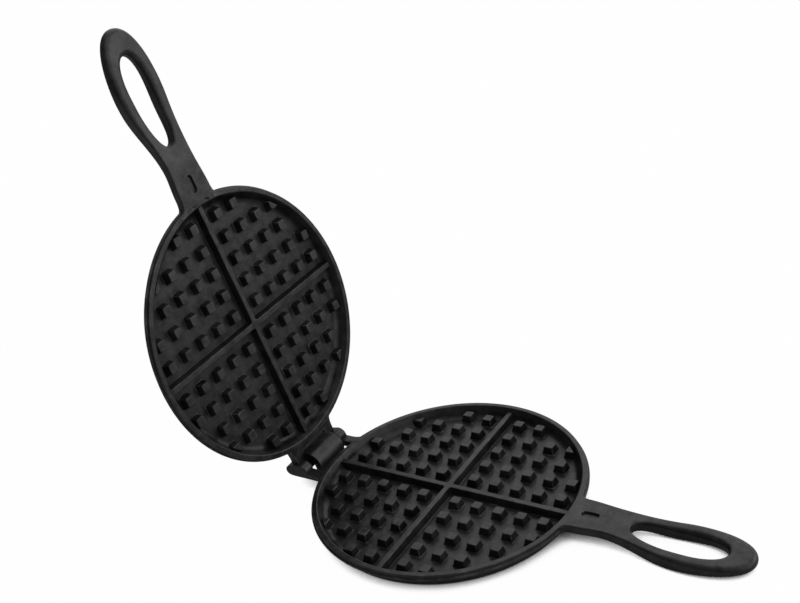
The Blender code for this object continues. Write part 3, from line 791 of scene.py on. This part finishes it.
def round_bar(radius, along):
    """A bar along Y, centred on the origin."""
    bm = bmesh.new()
    shape = {"segments": BAR_SEGMENTS, "radius1": radius, "radius2": radius, "depth": along}
    lying = Matrix.Rotation(QUARTER, 4, "X")
    bmesh.ops.create_cone(bm, cap_ends=True, matrix=lying, **shape)
    return bm


def casting(sizes):
    """What both halves share: the plate and the handle with its pocket."""
    body = combined(plate(sizes), handle(sizes), "UNION")
    return combined(body, neck_pocket(sizes), "DIFFERENCE")


def with_arms(sizes, body):
    """The lower casting's two arms, each with an ear that has a blind socket for the pin."""
    inner = EAR_GAP_WIDTH / 2
    outer = inner + EAR_THICKNESS
    for side in (1, -1):
        low, high = sorted((side * inner, side * outer))
        arm = prism(ear_outline(sizes), low, high, at_ear)
        soften(arm, EDGE_ROUNDING, 4, outline_edges(low, high))
        widen_to_rim(sizes, arm, outer, inner)
        body = combined(body, object_from(arm, "arm"), "UNION")
    bore = round_bar(sizes.pin_radius + PIN_CLEARANCE, EAR_GAP_WIDTH + 2 * PIN_SOCKET_DEPTH)
    bmesh.ops.translate(bore, verts=bore.verts, vec=at_ear(0, 0, 0))
    return combined(body, object_from(bore, "sockets"), "DIFFERENCE")


def with_hook(sizes, body):
    """The upper casting's neck with its two shoulders and the hook between them."""
    half = sizes.hook_width / 2
    step = (-HINGE_REACH + HOOK_STEP_DISTANCE, half - HOOK_ROOT_OVERLAP)
    shoulder = (-HINGE_REACH + STOP_DISTANCE, half - HOOK_ROOT_OVERLAP)
    flared = flared_side(sizes, NECK_WIDTH / 2, shoulder[0])
    foot_y = NECK_WIDTH / 2 + NECK_FLARE
    root = [(-x, y) for x, y in reversed(root_arc(sizes, foot_y, 8))]
    outline = closed_loop([step, shoulder, *flared, *root])
    neck = prism(outline, -HINGE_NECK_THICKNESS, -NECK_RELIEF, plan)
    soften(neck, NECK_BACK_ROUNDING, 5, level_edges(-HINGE_NECK_THICKNESS))
    body = combined(body, object_from(neck, "neck"), "UNION")
    hook = prism(hook_outline(sizes), -half, half, at_hook)
    return combined(body, object_from(hook, "hook"), "UNION")


def lower_place(sizes):
    """From a casting's own frame to the lower half's place."""
    return Matrix.Translation((0, 0, sizes.plate_depth))


def upper_place():
    """From a casting's own frame to the upper half's place, turned over and swung open."""
    turned_over = Matrix.Rotation(math.pi, 4, "X")
    closed = Matrix.Translation((HINGE_REACH, 0, AXIS_ABOVE_UPPER_FACE)) @ turned_over
    return Matrix.Translation(AXIS_AT) @ Matrix.Rotation(-OPEN_ANGLE, 4, "Y") @ closed


def rib_outline(sizes, reach):
    """Plan of the crossed ribs at their tops, with filleted inner corners."""
    half = sizes.rib_top / 2
    points = []
    for turn in range(4):
        a = turn * QUARTER
        for x, y in ((reach, -half), (reach, half), (half, half)):
            points.append(
                (x * math.cos(a) - y * math.sin(a), x * math.sin(a) + y * math.cos(a))
            )
    return rounded(points, {i: RIB_CORNER for i in range(2, 12, 3)}, 6)


def drafted_levels(sizes):
    """(depth, spread) down a rib's side: rounded top edge, drafted side, filleted foot."""
    top = -sizes.pattern_drop
    floor = -sizes.waffle_depth
    edge = sizes.peg_edge
    foot = sizes.peg_foot
    draft = math.tan(PATTERN_DRAFT)
    levels = []
    for i in range(6):
        a = QUARTER * i / 5
        down = edge * (1 - math.cos(a))
        levels.append((top - down, edge * math.sin(a) - edge + down * draft))
    tall = top - floor
    for i in range(9):
        a = QUARTER * i / 8
        up = foot * (1 - math.sin(a))
        levels.append((floor + up, (tall - up) * draft + foot * (1 - math.cos(a))))
    levels.append((floor - PATTERN_SINK, levels[-1][1] + PATTERN_SINK))
    return levels


def ribs(sizes):
    """The crossed ribs, their ends cut to run just into the plate's wall."""
    reach = sizes.rim_inner + PATTERN_WALL_BITE
    outline = rib_outline(sizes, reach)
    outward = []
    for i in range(len(outline)):
        before = Vector(outline[i - 1])
        here = Vector(outline[i])
        after = Vector(outline[(i + 1) % len(outline)])
        first = (here - before).normalized()
        second = (after - here).normalized()
        normal = Vector((first.y + second.y, -first.x - second.x)).normalized()
        miter = 1 / max(0.5, normal.dot(Vector((second.y, -second.x))))
        outward.append(normal * miter)
    bm = bmesh.new()
    rings = []
    slope = math.tan(WALL_DRAFT)
    for z, spread in drafted_levels(sizes):
        ring = []
        for at, normal in zip(outline, outward):
            place = Vector(at) + normal * spread
            limit = reach + slope * z
            longest = max(abs(place.x), abs(place.y))
            if longest > limit:
                if abs(place.x) > abs(place.y):
                    place.x = math.copysign(limit, place.x)
                else:
                    place.y = math.copysign(limit, place.y)
            ring.append(bm.verts.new((place.x, place.y, z)))
        rings.append(ring)
    bm.faces.new(rings[0])
    bm.faces.new(rings[-1])
    skin(bm, rings)
    return object_from(bm, "ribs")


def fill(node, *values, **named):
    """Fills a node's sockets and gives its outputs. Values go to the sockets in order, a name
    with a capital letter means the socket of that name, and _2 a socket by number. Each takes a
    plain value or another node's output. Names in small letters are the node's own settings."""
    sockets = list(enumerate(values))
    for name, value in named.items():
        if name[0] == "_":
            sockets.append((int(name[1:]), value))
        elif name[0].isupper():
            sockets.append((name.replace("_", " "), value))
        else:
            setattr(node, name, value)
    for key, value in sockets:
        if isinstance(value, bpy.types.NodeSocket):
            node.id_data.links.new(value, node.inputs[key])
        else:
            node.inputs[key].default_value = value
    return node.outputs


def add_node(tree, kind, *values, **named):
    """Adds a node with its settings and links, and gives its outputs."""
    return fill(tree.nodes.new(kind), *values, **named)


def peg_tree(values):
    """Geometry Nodes for a plate's pegs: square frustums on a grid that leaves room for the
    crossed ribs, as far out as the round wall lets them stand, and cut off next to the wall."""
    tree = bpy.data.node_groups.new("Waffle pegs", "GeometryNodeTree")
    face = tree.interface
    face.new_socket("Geometry", in_out="OUTPUT", socket_type="NodeSocketGeometry")
    for name, value in values.items():
        face.new_socket(name, in_out="INPUT", socket_type=SOCKET_KINDS[type(value)])
    add = partial(add_node, tree)
    given = add("NodeGroupInput")
    pitch = given["Peg pitch"]
    height = given["Peg height"]
    count = given["Pegs each way"]

    def stand_back(distance, radius):
        """How far a rounding of that radius stands back at a distance from its flat side."""
        near = add(MATH, distance, radius, operation="DIVIDE")[0]
        left = add(MATH, 1.0, near, operation="SUBTRACT", use_clamp=True)[0]
        square = add(MATH, left, 2.0, operation="POWER")[0]
        rest = add(MATH, 1.0, square, operation="SUBTRACT")[0]
        circle = add(MATH, rest, operation="SQRT")[0]
        share = add(MATH, 1.0, circle, operation="SUBTRACT")[0]
        return add(MATH, radius, share, operation="MULTIPLY")[0]

    # One peg: a round column, its rings closest together at both ends
    column = add("GeometryNodeMeshCylinder", Vertices=32, Side_Segments=14, Radius=1.0, Depth=1.0)
    split = add("ShaderNodeSeparateXYZ", add("GeometryNodeInputPosition")[0])
    share = add(MATH, split["Z"], 0.5, operation="ADD")[0]
    angle = add(MATH, share, math.pi, operation="MULTIPLY")[0]
    turned = add(MATH, angle, operation="COSINE")[0]
    eased = add(MATH, turned, -0.5, 0.5, operation="MULTIPLY_ADD")[0]
    up = add(MATH, eased, height, operation="MULTIPLY")[0]
    down = add(MATH, height, up, operation="SUBTRACT")[0]

    # Its half width: drafted, with a rounded top edge and a filleted foot
    half = add(MATH, given["Peg top"], 0.5, operation="MULTIPLY")[0]
    half = add(MATH, down, given["Draft slope"], half, operation="MULTIPLY_ADD")[0]
    edge = stand_back(down, given["Edge rounding"])
    half = add(MATH, half, edge, operation="SUBTRACT")[0]
    foot = stand_back(up, given["Foot fillet"])
    half = add(MATH, half, foot, operation="ADD")[0]

    # The rings pushed out from circles to squares with tight round corners
    sharpness = 9.0
    powers = []
    for axis in "XY":
        distance = add(MATH, split[axis], operation="ABSOLUTE")[0]
        powers.append(add(MATH, distance, sharpness, operation="POWER")[0])
    norm = add(MATH, *powers, operation="ADD")[0]
    norm = add(MATH, norm, 1 / sharpness, operation="POWER")[0]
    norm = add(MATH, norm, 0.0001, operation="MAXIMUM")[0]
    scale = add(MATH, half, norm, operation="DIVIDE")[0]
    flat = [add(MATH, split[axis], scale, operation="MULTIPLY")[0] for axis in "XY"]
    drop = add(MATH, height, given["Top depth"], operation="ADD")[0]
    level = add(MATH, up, drop, operation="SUBTRACT")[0]
    shaped = add(COMBINE, *flat, level)[0]
    peg = add(SET_POSITION, Geometry=column["Mesh"], Position=shaped)[0]

    # The grid, its halves moved apart to leave room for the ribs
    steps = add(MATH, count, 1.0, operation="SUBTRACT")[0]
    span = add(MATH, steps, pitch, operation="MULTIPLY")[0]
    grid = add("GeometryNodeMeshGrid", span, span, count, count)["Mesh"]
    here = add("ShaderNodeSeparateXYZ", add("GeometryNodeInputPosition")[0])
    half_pitch = add(MATH, pitch, 0.5, operation="MULTIPLY")[0]
    extra = add(MATH, given["First peg"], half_pitch, operation="SUBTRACT")[0]
    signs = [add(MATH, here[axis], operation="SIGN")[0] for axis in "XY"]
    shift = [add(MATH, sign, extra, operation="MULTIPLY")[0] for sign in signs]
    spread = add(SET_POSITION, Geometry=grid, Offset=add(COMBINE, *shift)[0])[0]
    place = add("GeometryNodeInputPosition")[0]
    radius = add(VECTOR_MATH, place, operation="LENGTH")["Value"]
    outside = add(MATH, radius, given["Peg reach"], operation="GREATER_THAN")[0]
    inside = add("GeometryNodeDeleteGeometry", spread, outside, domain="POINT")[0]

    # Castings are never quite even: each peg is a little turned and a little larger or smaller
    most = given["Unevenness"]
    least = add(MATH, most, -1.0, operation="MULTIPLY")[0]
    turn = add(RANDOM, _2=least, _3=most, Seed=given["Seed"], data_type="FLOAT")[1]
    small = add(MATH, 1.0, most, operation="SUBTRACT")[0]
    large = add(MATH, 1.0, most, operation="ADD")[0]
    seed = add(MATH, given["Seed"], 1.0, operation="ADD")[0]
    size = add(RANDOM, _2=small, _3=large, Seed=seed, data_type="FLOAT")[1]
    pegs_out = add(
        "GeometryNodeInstanceOnPoints",
        Points=inside,
        Instance=peg,
        Rotation=add(COMBINE, 0.0, 0.0, turn)[0],
        Scale=add(COMBINE, size, size, 1.0)[0],
    )[0]
    real = add("GeometryNodeRealizeInstances", Geometry=pegs_out)[0]

    # Pegs next to the wall are cut off upright, and the drafted wall meets them lower down
    limit_depth = 12 * MM
    limit = add(
        "GeometryNodeMeshCylinder", Vertices=128, Radius=given["Peg limit"], Depth=limit_depth
    )
    low = (0.0, 0.0, -limit_depth / 2)
    sunk = add("GeometryNodeTransform", Geometry=limit["Mesh"], Translation=low)[0]
    cut = add("GeometryNodeMeshBoolean", Mesh_2=real, operation="INTERSECT", solver="EXACT")[0]
    fill(cut.node, Mesh_2=sunk)
    smoothed = add("GeometryNodeSetShadeSmooth", Geometry=cut)[0]
    metal = add("GeometryNodeSetMaterial", Geometry=smoothed, Material=given["Metal"])[0]
    add("NodeGroupOutput", metal)
    return tree


def grown(tree, values, name):
    """The plain mesh object that the tree makes from these named inputs."""
    obj = linked(name + " tree", bpy.data.meshes.new(name))
    nodes = obj.modifiers.new("nodes", "NODES")
    nodes.node_group = tree
    for item in tree.interface.items_tree:
        if item.item_type == "SOCKET" and item.in_out == "INPUT":
            nodes[item.identifier] = values[item.name]
    bpy.context.view_layer.update()
    return baked(obj, name)


def pegs(sizes, metal, seed):
    """One plate's pegs, in the casting's frame."""
    values = {
        "Peg pitch": sizes.peg_pitch,
        "First peg": sizes.peg_first,
        "Peg reach": sizes.peg_reach,
        "Peg top": sizes.peg_top,
        "Peg height": sizes.waffle_depth - sizes.pattern_drop + PEG_SINK,
        "Top depth": sizes.pattern_drop,
        "Foot fillet": sizes.peg_foot,
        "Edge rounding": sizes.peg_edge,
        "Draft slope": math.tan(PATTERN_DRAFT),
        "Peg limit": sizes.peg_limit,
        "Unevenness": UNEVENNESS,
        "Pegs each way": 2 * int(sizes.peg_reach / sizes.peg_pitch),
        "Seed": seed,
        "Metal": metal,
    }
    tree = bpy.data.node_groups.get("Waffle pegs") or peg_tree(values)
    return grown(tree, values, "pegs")


def material(name):
    """A new material, its node tree and its Principled shader."""
    made = bpy.data.materials.new(name)
    made.use_nodes = True
    tree = made.node_tree
    return made, tree, tree.nodes["Principled BSDF"]


def rubbed_edges(tree, radius):
    """1 where an outer edge lies within that radius, 0 on flat skin and in corners."""
    add = partial(add_node, tree)
    rounded_normal = add("ShaderNodeBevel", Radius=radius, samples=6)[0]
    normal = add("ShaderNodeNewGeometry")["Normal"]
    same = add(VECTOR_MATH, rounded_normal, normal, operation="DOT_PRODUCT")["Value"]
    edges = add(SPREAD, same, 0.998, 0.96, **EASED)[0]
    around = add(NEARNESS, Distance=radius, samples=8)["AO"]
    outer = add(SPREAD, around, 0.82, 0.95, **EASED)[0]
    return add(MATH, edges, outer, operation="MULTIPLY")[0]


def seasoned_iron(finish):
    """Seasoned cast iron, sand cast: a dark baked-oil film over a faintly grained grey skin.

    The film is satin and a little blotchy, so lit faces go dark grey. Corners and hollows get
    less sheen the more closed in they are: painted shade that keeps them dull and black. The
    sand leaves a fine pebble with a slow swell under it. Edges that get rubbed lose some film:
    they are greyer and a touch smoother.
    """
    made, tree, shader = material("seasoned cast iron, sand cast")
    add = partial(add_node, tree)
    place = add("ShaderNodeTexCoord")["Object"]
    film, rubbed, rough, oily, grain, swell = (
        add(NOISE, Vector=place, Scale=1 / size, Detail=detail, Roughness=fineness)[0]
        for size, detail, fineness in (
            (FILM_PATCH, 4.0, 0.55),
            (RUBBED_PATCH, 3.0, 0.55),
            (SHEEN_PATCH, 5.0, 0.55),
            (OILY_PATCH, 5.0, 0.65),
            (finish.grain, 2.0, 0.55),
            (SWELL_PATCH, 2.0, 0.55),
        )
    )

    # Colour: the film, thick and thin, and the grey of rubbed edges
    thick, thin, grey = ((*c, 1.0) for c in (finish.iron, finish.iron_light, finish.edge))
    film = add(SPREAD, film, 0.38, 0.64, **EASED)[0]
    covered = add("ShaderNodeMix", film, _6=thick, _7=thin, data_type="RGBA")[2]
    rubbed = add(SPREAD, rubbed, 0.48, 0.72, 0.0, 0.75, **EASED)[0]
    wear = add(MATH, rubbed_edges(tree, RUBBED_WIDTH), rubbed, operation="MULTIPLY")[0]
    worn = add("ShaderNodeMix", wear, _6=covered, _7=grey, data_type="RGBA")[2]

    # Sheen: a satin film, smoother on rubbed edges, blotchy, and turned down in corners as
    # painted shade
    rough = add(SPREAD, rough, 0.3, 0.7, 0.28, 0.46, **EASED)[0]
    rough = add(MATH, wear, -0.08, rough, operation="MULTIPLY_ADD")[0]
    oily = add(SPREAD, oily, 0.3, 0.7, 0.36, 0.62, **EASED)[0]
    open_skin = add(NEARNESS, Distance=CORNER_SHADE_REACH, samples=8)["AO"]
    # Painted shade: less sheen where the skin is closed in by nearby iron
    painted_corner_shade = add(SPREAD, open_skin, 0.4, 1.0, 0.42, 1.0, **EASED)[0]
    sheen = add(MATH, oily, painted_corner_shade, operation="MULTIPLY")[0]

    # Relief: sand grain and pebble, with a slow swell under them
    grain = add(MATH, grain, 0.6, operation="MULTIPLY")[0]
    pebble = add("ShaderNodeTexVoronoi", Vector=place, Scale=1 / (2.2 * finish.grain))["Distance"]
    relief = add(MATH, pebble, 0.25, grain, operation="MULTIPLY_ADD")[0]
    fine = add(BUMP, Strength=0.5, Distance=0.16 * MM, Height=relief)[0]
    slow = add(BUMP, Strength=0.6, Distance=0.7 * MM, Height=swell, Normal=fine)[0]
    fill(shader, Base_Color=worn, Metallic=0.0, Roughness=rough, IOR=1.52, Normal=slow)
    fill(shader, Specular_IOR_Level=sheen)
    return made


def blackened_steel(finish):
    """Blackened mild steel, drawn bar: darker than the castings, with a thin metal sheen.

    Drawing leaves streaks along the bar, and blotches of smoother and duller scale.
    """
    made, tree, shader = material("blackened steel, drawn bar")
    add = partial(add_node, tree)
    place = add("ShaderNodeTexCoord")["Object"]
    along_bar = add("ShaderNodeMapping", Vector=place, Scale=(1.0, 0.05, 1.0))[0]
    streaks, blotches = (
        add(NOISE, Vector=at, Scale=1 / size, Detail=3.0, Roughness=0.55)[0]
        for at, size in ((along_bar, STREAK_WIDTH), (place, BLOTCH))
    )
    bright = (*finish.pin, 1.0)
    dark = (*(c * 0.55 for c in finish.pin), 1.0)
    share = add(SPREAD, streaks, 0.35, 0.7, **EASED)[0]
    streaky = add("ShaderNodeMix", share, _6=dark, _7=bright, data_type="RGBA")[2]
    rough = add(SPREAD, blotches, 0.3, 0.7, 0.32, 0.5, **EASED)[0]
    bump = add(BUMP, Strength=0.3, Distance=0.05 * MM, Height=streaks)[0]
    fill(shader, Base_Color=streaky, Metallic=0.85, Roughness=rough, Normal=bump)
    return made


def shared_metal(name, make, finish):
    """The scene's metal of that name, made on first use."""
    return bpy.data.materials.get(name) or make(finish)


def iron(context):
    finish = context.scene.waffle_iron_finish
    return shared_metal("seasoned cast iron, sand cast", seasoned_iron, finish)


def placed(piece, place, body, slot, *nodes):
    """Moves the piece's mesh to its place, ties it to its body and hides the CAD nodes. The slot
    is not used.
    """
    piece.data.transform(place)
    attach(piece, body)
    if nodes:
        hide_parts(*nodes)


class WAFFLE_OT_castings(bpy.types.Operator):
    """Make the two castings: plate, handle, and arms or hook"""

    bl_idname = "waffle.castings"
    bl_label = "Castings"

    def execute(self, context):
        sizes = context.scene.waffle_iron_sizes
        shared = casting(sizes)
        twin = linked("twin", shared.data.copy())
        metal = iron(context)
        lower = finished(with_arms(sizes, shared), "lower_casting", metal)
        placed(lower, lower_place(sizes), "lower", "cast_iron", "lower_half")
        upper = finished(with_hook(sizes, twin), "upper_casting", metal)
        placed(upper, upper_place(), "upper", "cast_iron", "upper_half")
        return {"FINISHED"}


class WAFFLE_OT_pattern(bpy.types.Operator):
    """Make the pegs and crossed ribs on both plates"""

    bl_idname = "waffle.pattern"
    bl_label = "Waffle pattern"

    def execute(self, context):
        sizes = context.scene.waffle_iron_sizes
        metal = iron(context)
        halves = (("lower", lower_place(sizes), 3), ("upper", upper_place(), 11))
        for body, place, seed in halves:
            crossed = finished(ribs(sizes), f"{body}_ribs", metal)
            placed(crossed, place, body, "cast_iron")
            grid = finished(pegs(sizes, metal, seed), f"{body}_pegs", metal)
            if len(grid.data.polygons) < FEWEST_PEG_FACES:
                raise RuntimeError("the peg tree made no pegs")
            placed(grid, place, body, "cast_iron")
        return {"FINISHED"}


class WAFFLE_OT_pin(bpy.types.Operator):
    """Make the hinge pin"""

    bl_idname = "waffle.pin"
    bl_label = "Hinge pin"

    def execute(self, context):
        sizes = context.scene.waffle_iron_sizes
        along = EAR_GAP_WIDTH + 2 * (PIN_SOCKET_DEPTH - PIN_END_INSET)
        bar = round_bar(sizes.pin_radius, along)
        soften(bar, PIN_END_ROUNDING, 5, outline_edges(-along / 2, along / 2))
        finish = context.scene.waffle_iron_finish
        metal = shared_metal("blackened steel, drawn bar", blackened_steel, finish)
        pin = finished(object_from(bar, "pin"), "pin", metal)
        placed(pin, Matrix.Translation(AXIS_AT), "lower", "pin_steel", "hinge_pin")
        return {"FINISHED"}


class WAFFLE_OT_studio(bpy.types.Operator):
    """Make the white table, its backdrop, the lamps and the camera"""

    bl_idname = "waffle.studio"
    bl_label = "Studio"

    def execute(self, context):
        studio = context.scene.waffle_iron_studio
        bm = bmesh.new()
        bmesh.ops.create_grid(bm, x_segments=1, y_segments=1, size=TABLE_HALF)
        table = object_from(bm, "table")
        table.location = TABLE_MIDDLE
        table.data.materials.append(table_top(studio))
        world(context, studio)
        lamps(studio)
        camera(context)
        context.scene.view_settings.view_transform = "Standard"
        return {"FINISHED"}


def table_top(studio):
    """Matt white laminate. Seen directly it is lifted to near white, and its shadows stay."""
    made, tree, shader = material("matt white table")
    add = partial(add_node, tree)
    fill(shader, Base_Color=(*studio.floor, 1.0), Roughness=0.9, Specular_IOR_Level=0.0)
    path = add("ShaderNodeLightPath")
    around = add(NEARNESS, Distance=SHADOW_REACH, samples=8)["AO"]
    # The lift fades where the iron closes the table in: a painted contact shadow, placed by
    # closeness and not by the lamps
    unshaded = add(SPREAD, around, 0.15, 0.42, 0.0, 0.99, **EASED)[0]
    direct = add(MATH, path["Is Camera Ray"], unshaded, operation="MULTIPLY")[0]
    indirect = [path[f"Is {kind} Ray"] for kind in ("Glossy", "Transmission")]
    mirrored = add(MATH, *indirect, operation="MAXIMUM")[0]
    mirrored = add(MATH, mirrored, 0.08, operation="MULTIPLY")[0]
    seen = add(MATH, direct, mirrored, operation="MAXIMUM")[0]
    glow = add("ShaderNodeEmission", Strength=1.0)[0]
    lifted = add("ShaderNodeMixShader", seen, shader.outputs[0], glow)[0]
    fill(tree.nodes["Material Output"], Surface=lifted)
    return made


def world(context, studio):
    """A white room, bright at the back and dim at the front, where the camera stands. It is
    plain white where the camera sees past the table."""
    made = bpy.data.worlds.new("white room")
    context.scene.world = made
    made.use_nodes = True
    tree = made.node_tree
    add = partial(add_node, tree)
    direction = add("ShaderNodeTexCoord")["Generated"]
    facing = add(VECTOR_MATH, direction, BRIGHT_SIDE, operation="DOT_PRODUCT")["Value"]
    strength = add(SPREAD, facing, -0.35, 0.65, studio.sky_front, studio.sky, **EASED)[0]
    room = fill(tree.nodes["Background"], Color=WHITE, Strength=strength)[0]
    backdrop = add("ShaderNodeBackground", WHITE)[0]
    by_camera = add("ShaderNodeLightPath")["Is Camera Ray"]
    seen = add("ShaderNodeMixShader", by_camera, room, backdrop)[0]
    fill(tree.nodes["World Output"], Surface=seen)


def lamps(studio):
    """Two soft lamps behind the iron: a big one high on the left, and a low one on the right."""
    for name, place, size, power in (
        ("back softbox", (-0.7, 1.1, 1.2), (1.6, 1.4), studio.lamp_power),
        ("low softbox", (0.95, 0.95, 0.5), (0.9, 0.6), studio.low_lamp_power),
    ):
        data = bpy.data.lights.new(name, "AREA")
        data.shape = "RECTANGLE"
        data.size, data.size_y = size
        data.energy = power
        lamp = linked(name, data)
        lamp.location = place
        aim = LAMPS_AIM_AT - lamp.location
        lamp.rotation_euler = aim.to_track_quat("-Z", "Y").to_euler()


def camera(context):
    """The photograph's viewpoint: from the front right, high, with the frame's centre a little
    below the lens axis."""
    data = bpy.data.cameras.new("camera")
    data.sensor_width = 36.0
    data.lens = 54.956
    data.shift_x = -0.00625
    data.shift_y = 0.125
    data.clip_start = 0.01
    made = linked("camera", data)
    made.location = (0.42398, -0.55033, 0.52911)
    made.rotation_euler = [math.radians(a) for a in (56.917, 10.466, 32.298)]
    context.scene.camera = made


class WAFFLE_PT_panel(bpy.types.Panel):
    """Lists the steps that build the waffle iron, and its sizes and colours"""

    bl_idname = "WAFFLE_PT_panel"
    bl_label = "Waffle iron"
    bl_space_type = "VIEW_3D"
    bl_region_type = "UI"
    bl_category = "Waffle iron"

    def draw(self, context):
        for operator in OPERATORS:
            self.layout.operator(operator.bl_idname)
        for settings in ("waffle_iron_sizes", "waffle_iron_finish", "waffle_iron_studio"):
            group = getattr(context.scene, settings)
            for name in group.__annotations__:
                self.layout.prop(group, name)


OPERATORS = (WAFFLE_OT_castings, WAFFLE_OT_pattern, WAFFLE_OT_pin, WAFFLE_OT_studio)
GROUPS = {
    "waffle_iron_sizes": WaffleIronSizes,
    "waffle_iron_finish": WaffleIronFinish,
    "waffle_iron_studio": StudioSettings,
}


def register():
    for made in (*GROUPS.values(), *OPERATORS, WAFFLE_PT_panel):
        bpy.utils.register_class(made)
    for name, group in GROUPS.items():
        setattr(bpy.types.Scene, name, bpy.props.PointerProperty(type=group))


def unregister():
    for name in GROUPS:
        delattr(bpy.types.Scene, name)
    for made in (WAFFLE_PT_panel, *reversed(OPERATORS), *GROUPS.values()):
        bpy.utils.unregister_class(made)


def main():
    register()
    bpy.ops.waffle.castings()
    bpy.ops.waffle.pattern()
    bpy.ops.waffle.pin()
    bpy.ops.waffle.studio()


if __name__ == "__main__":
    main()
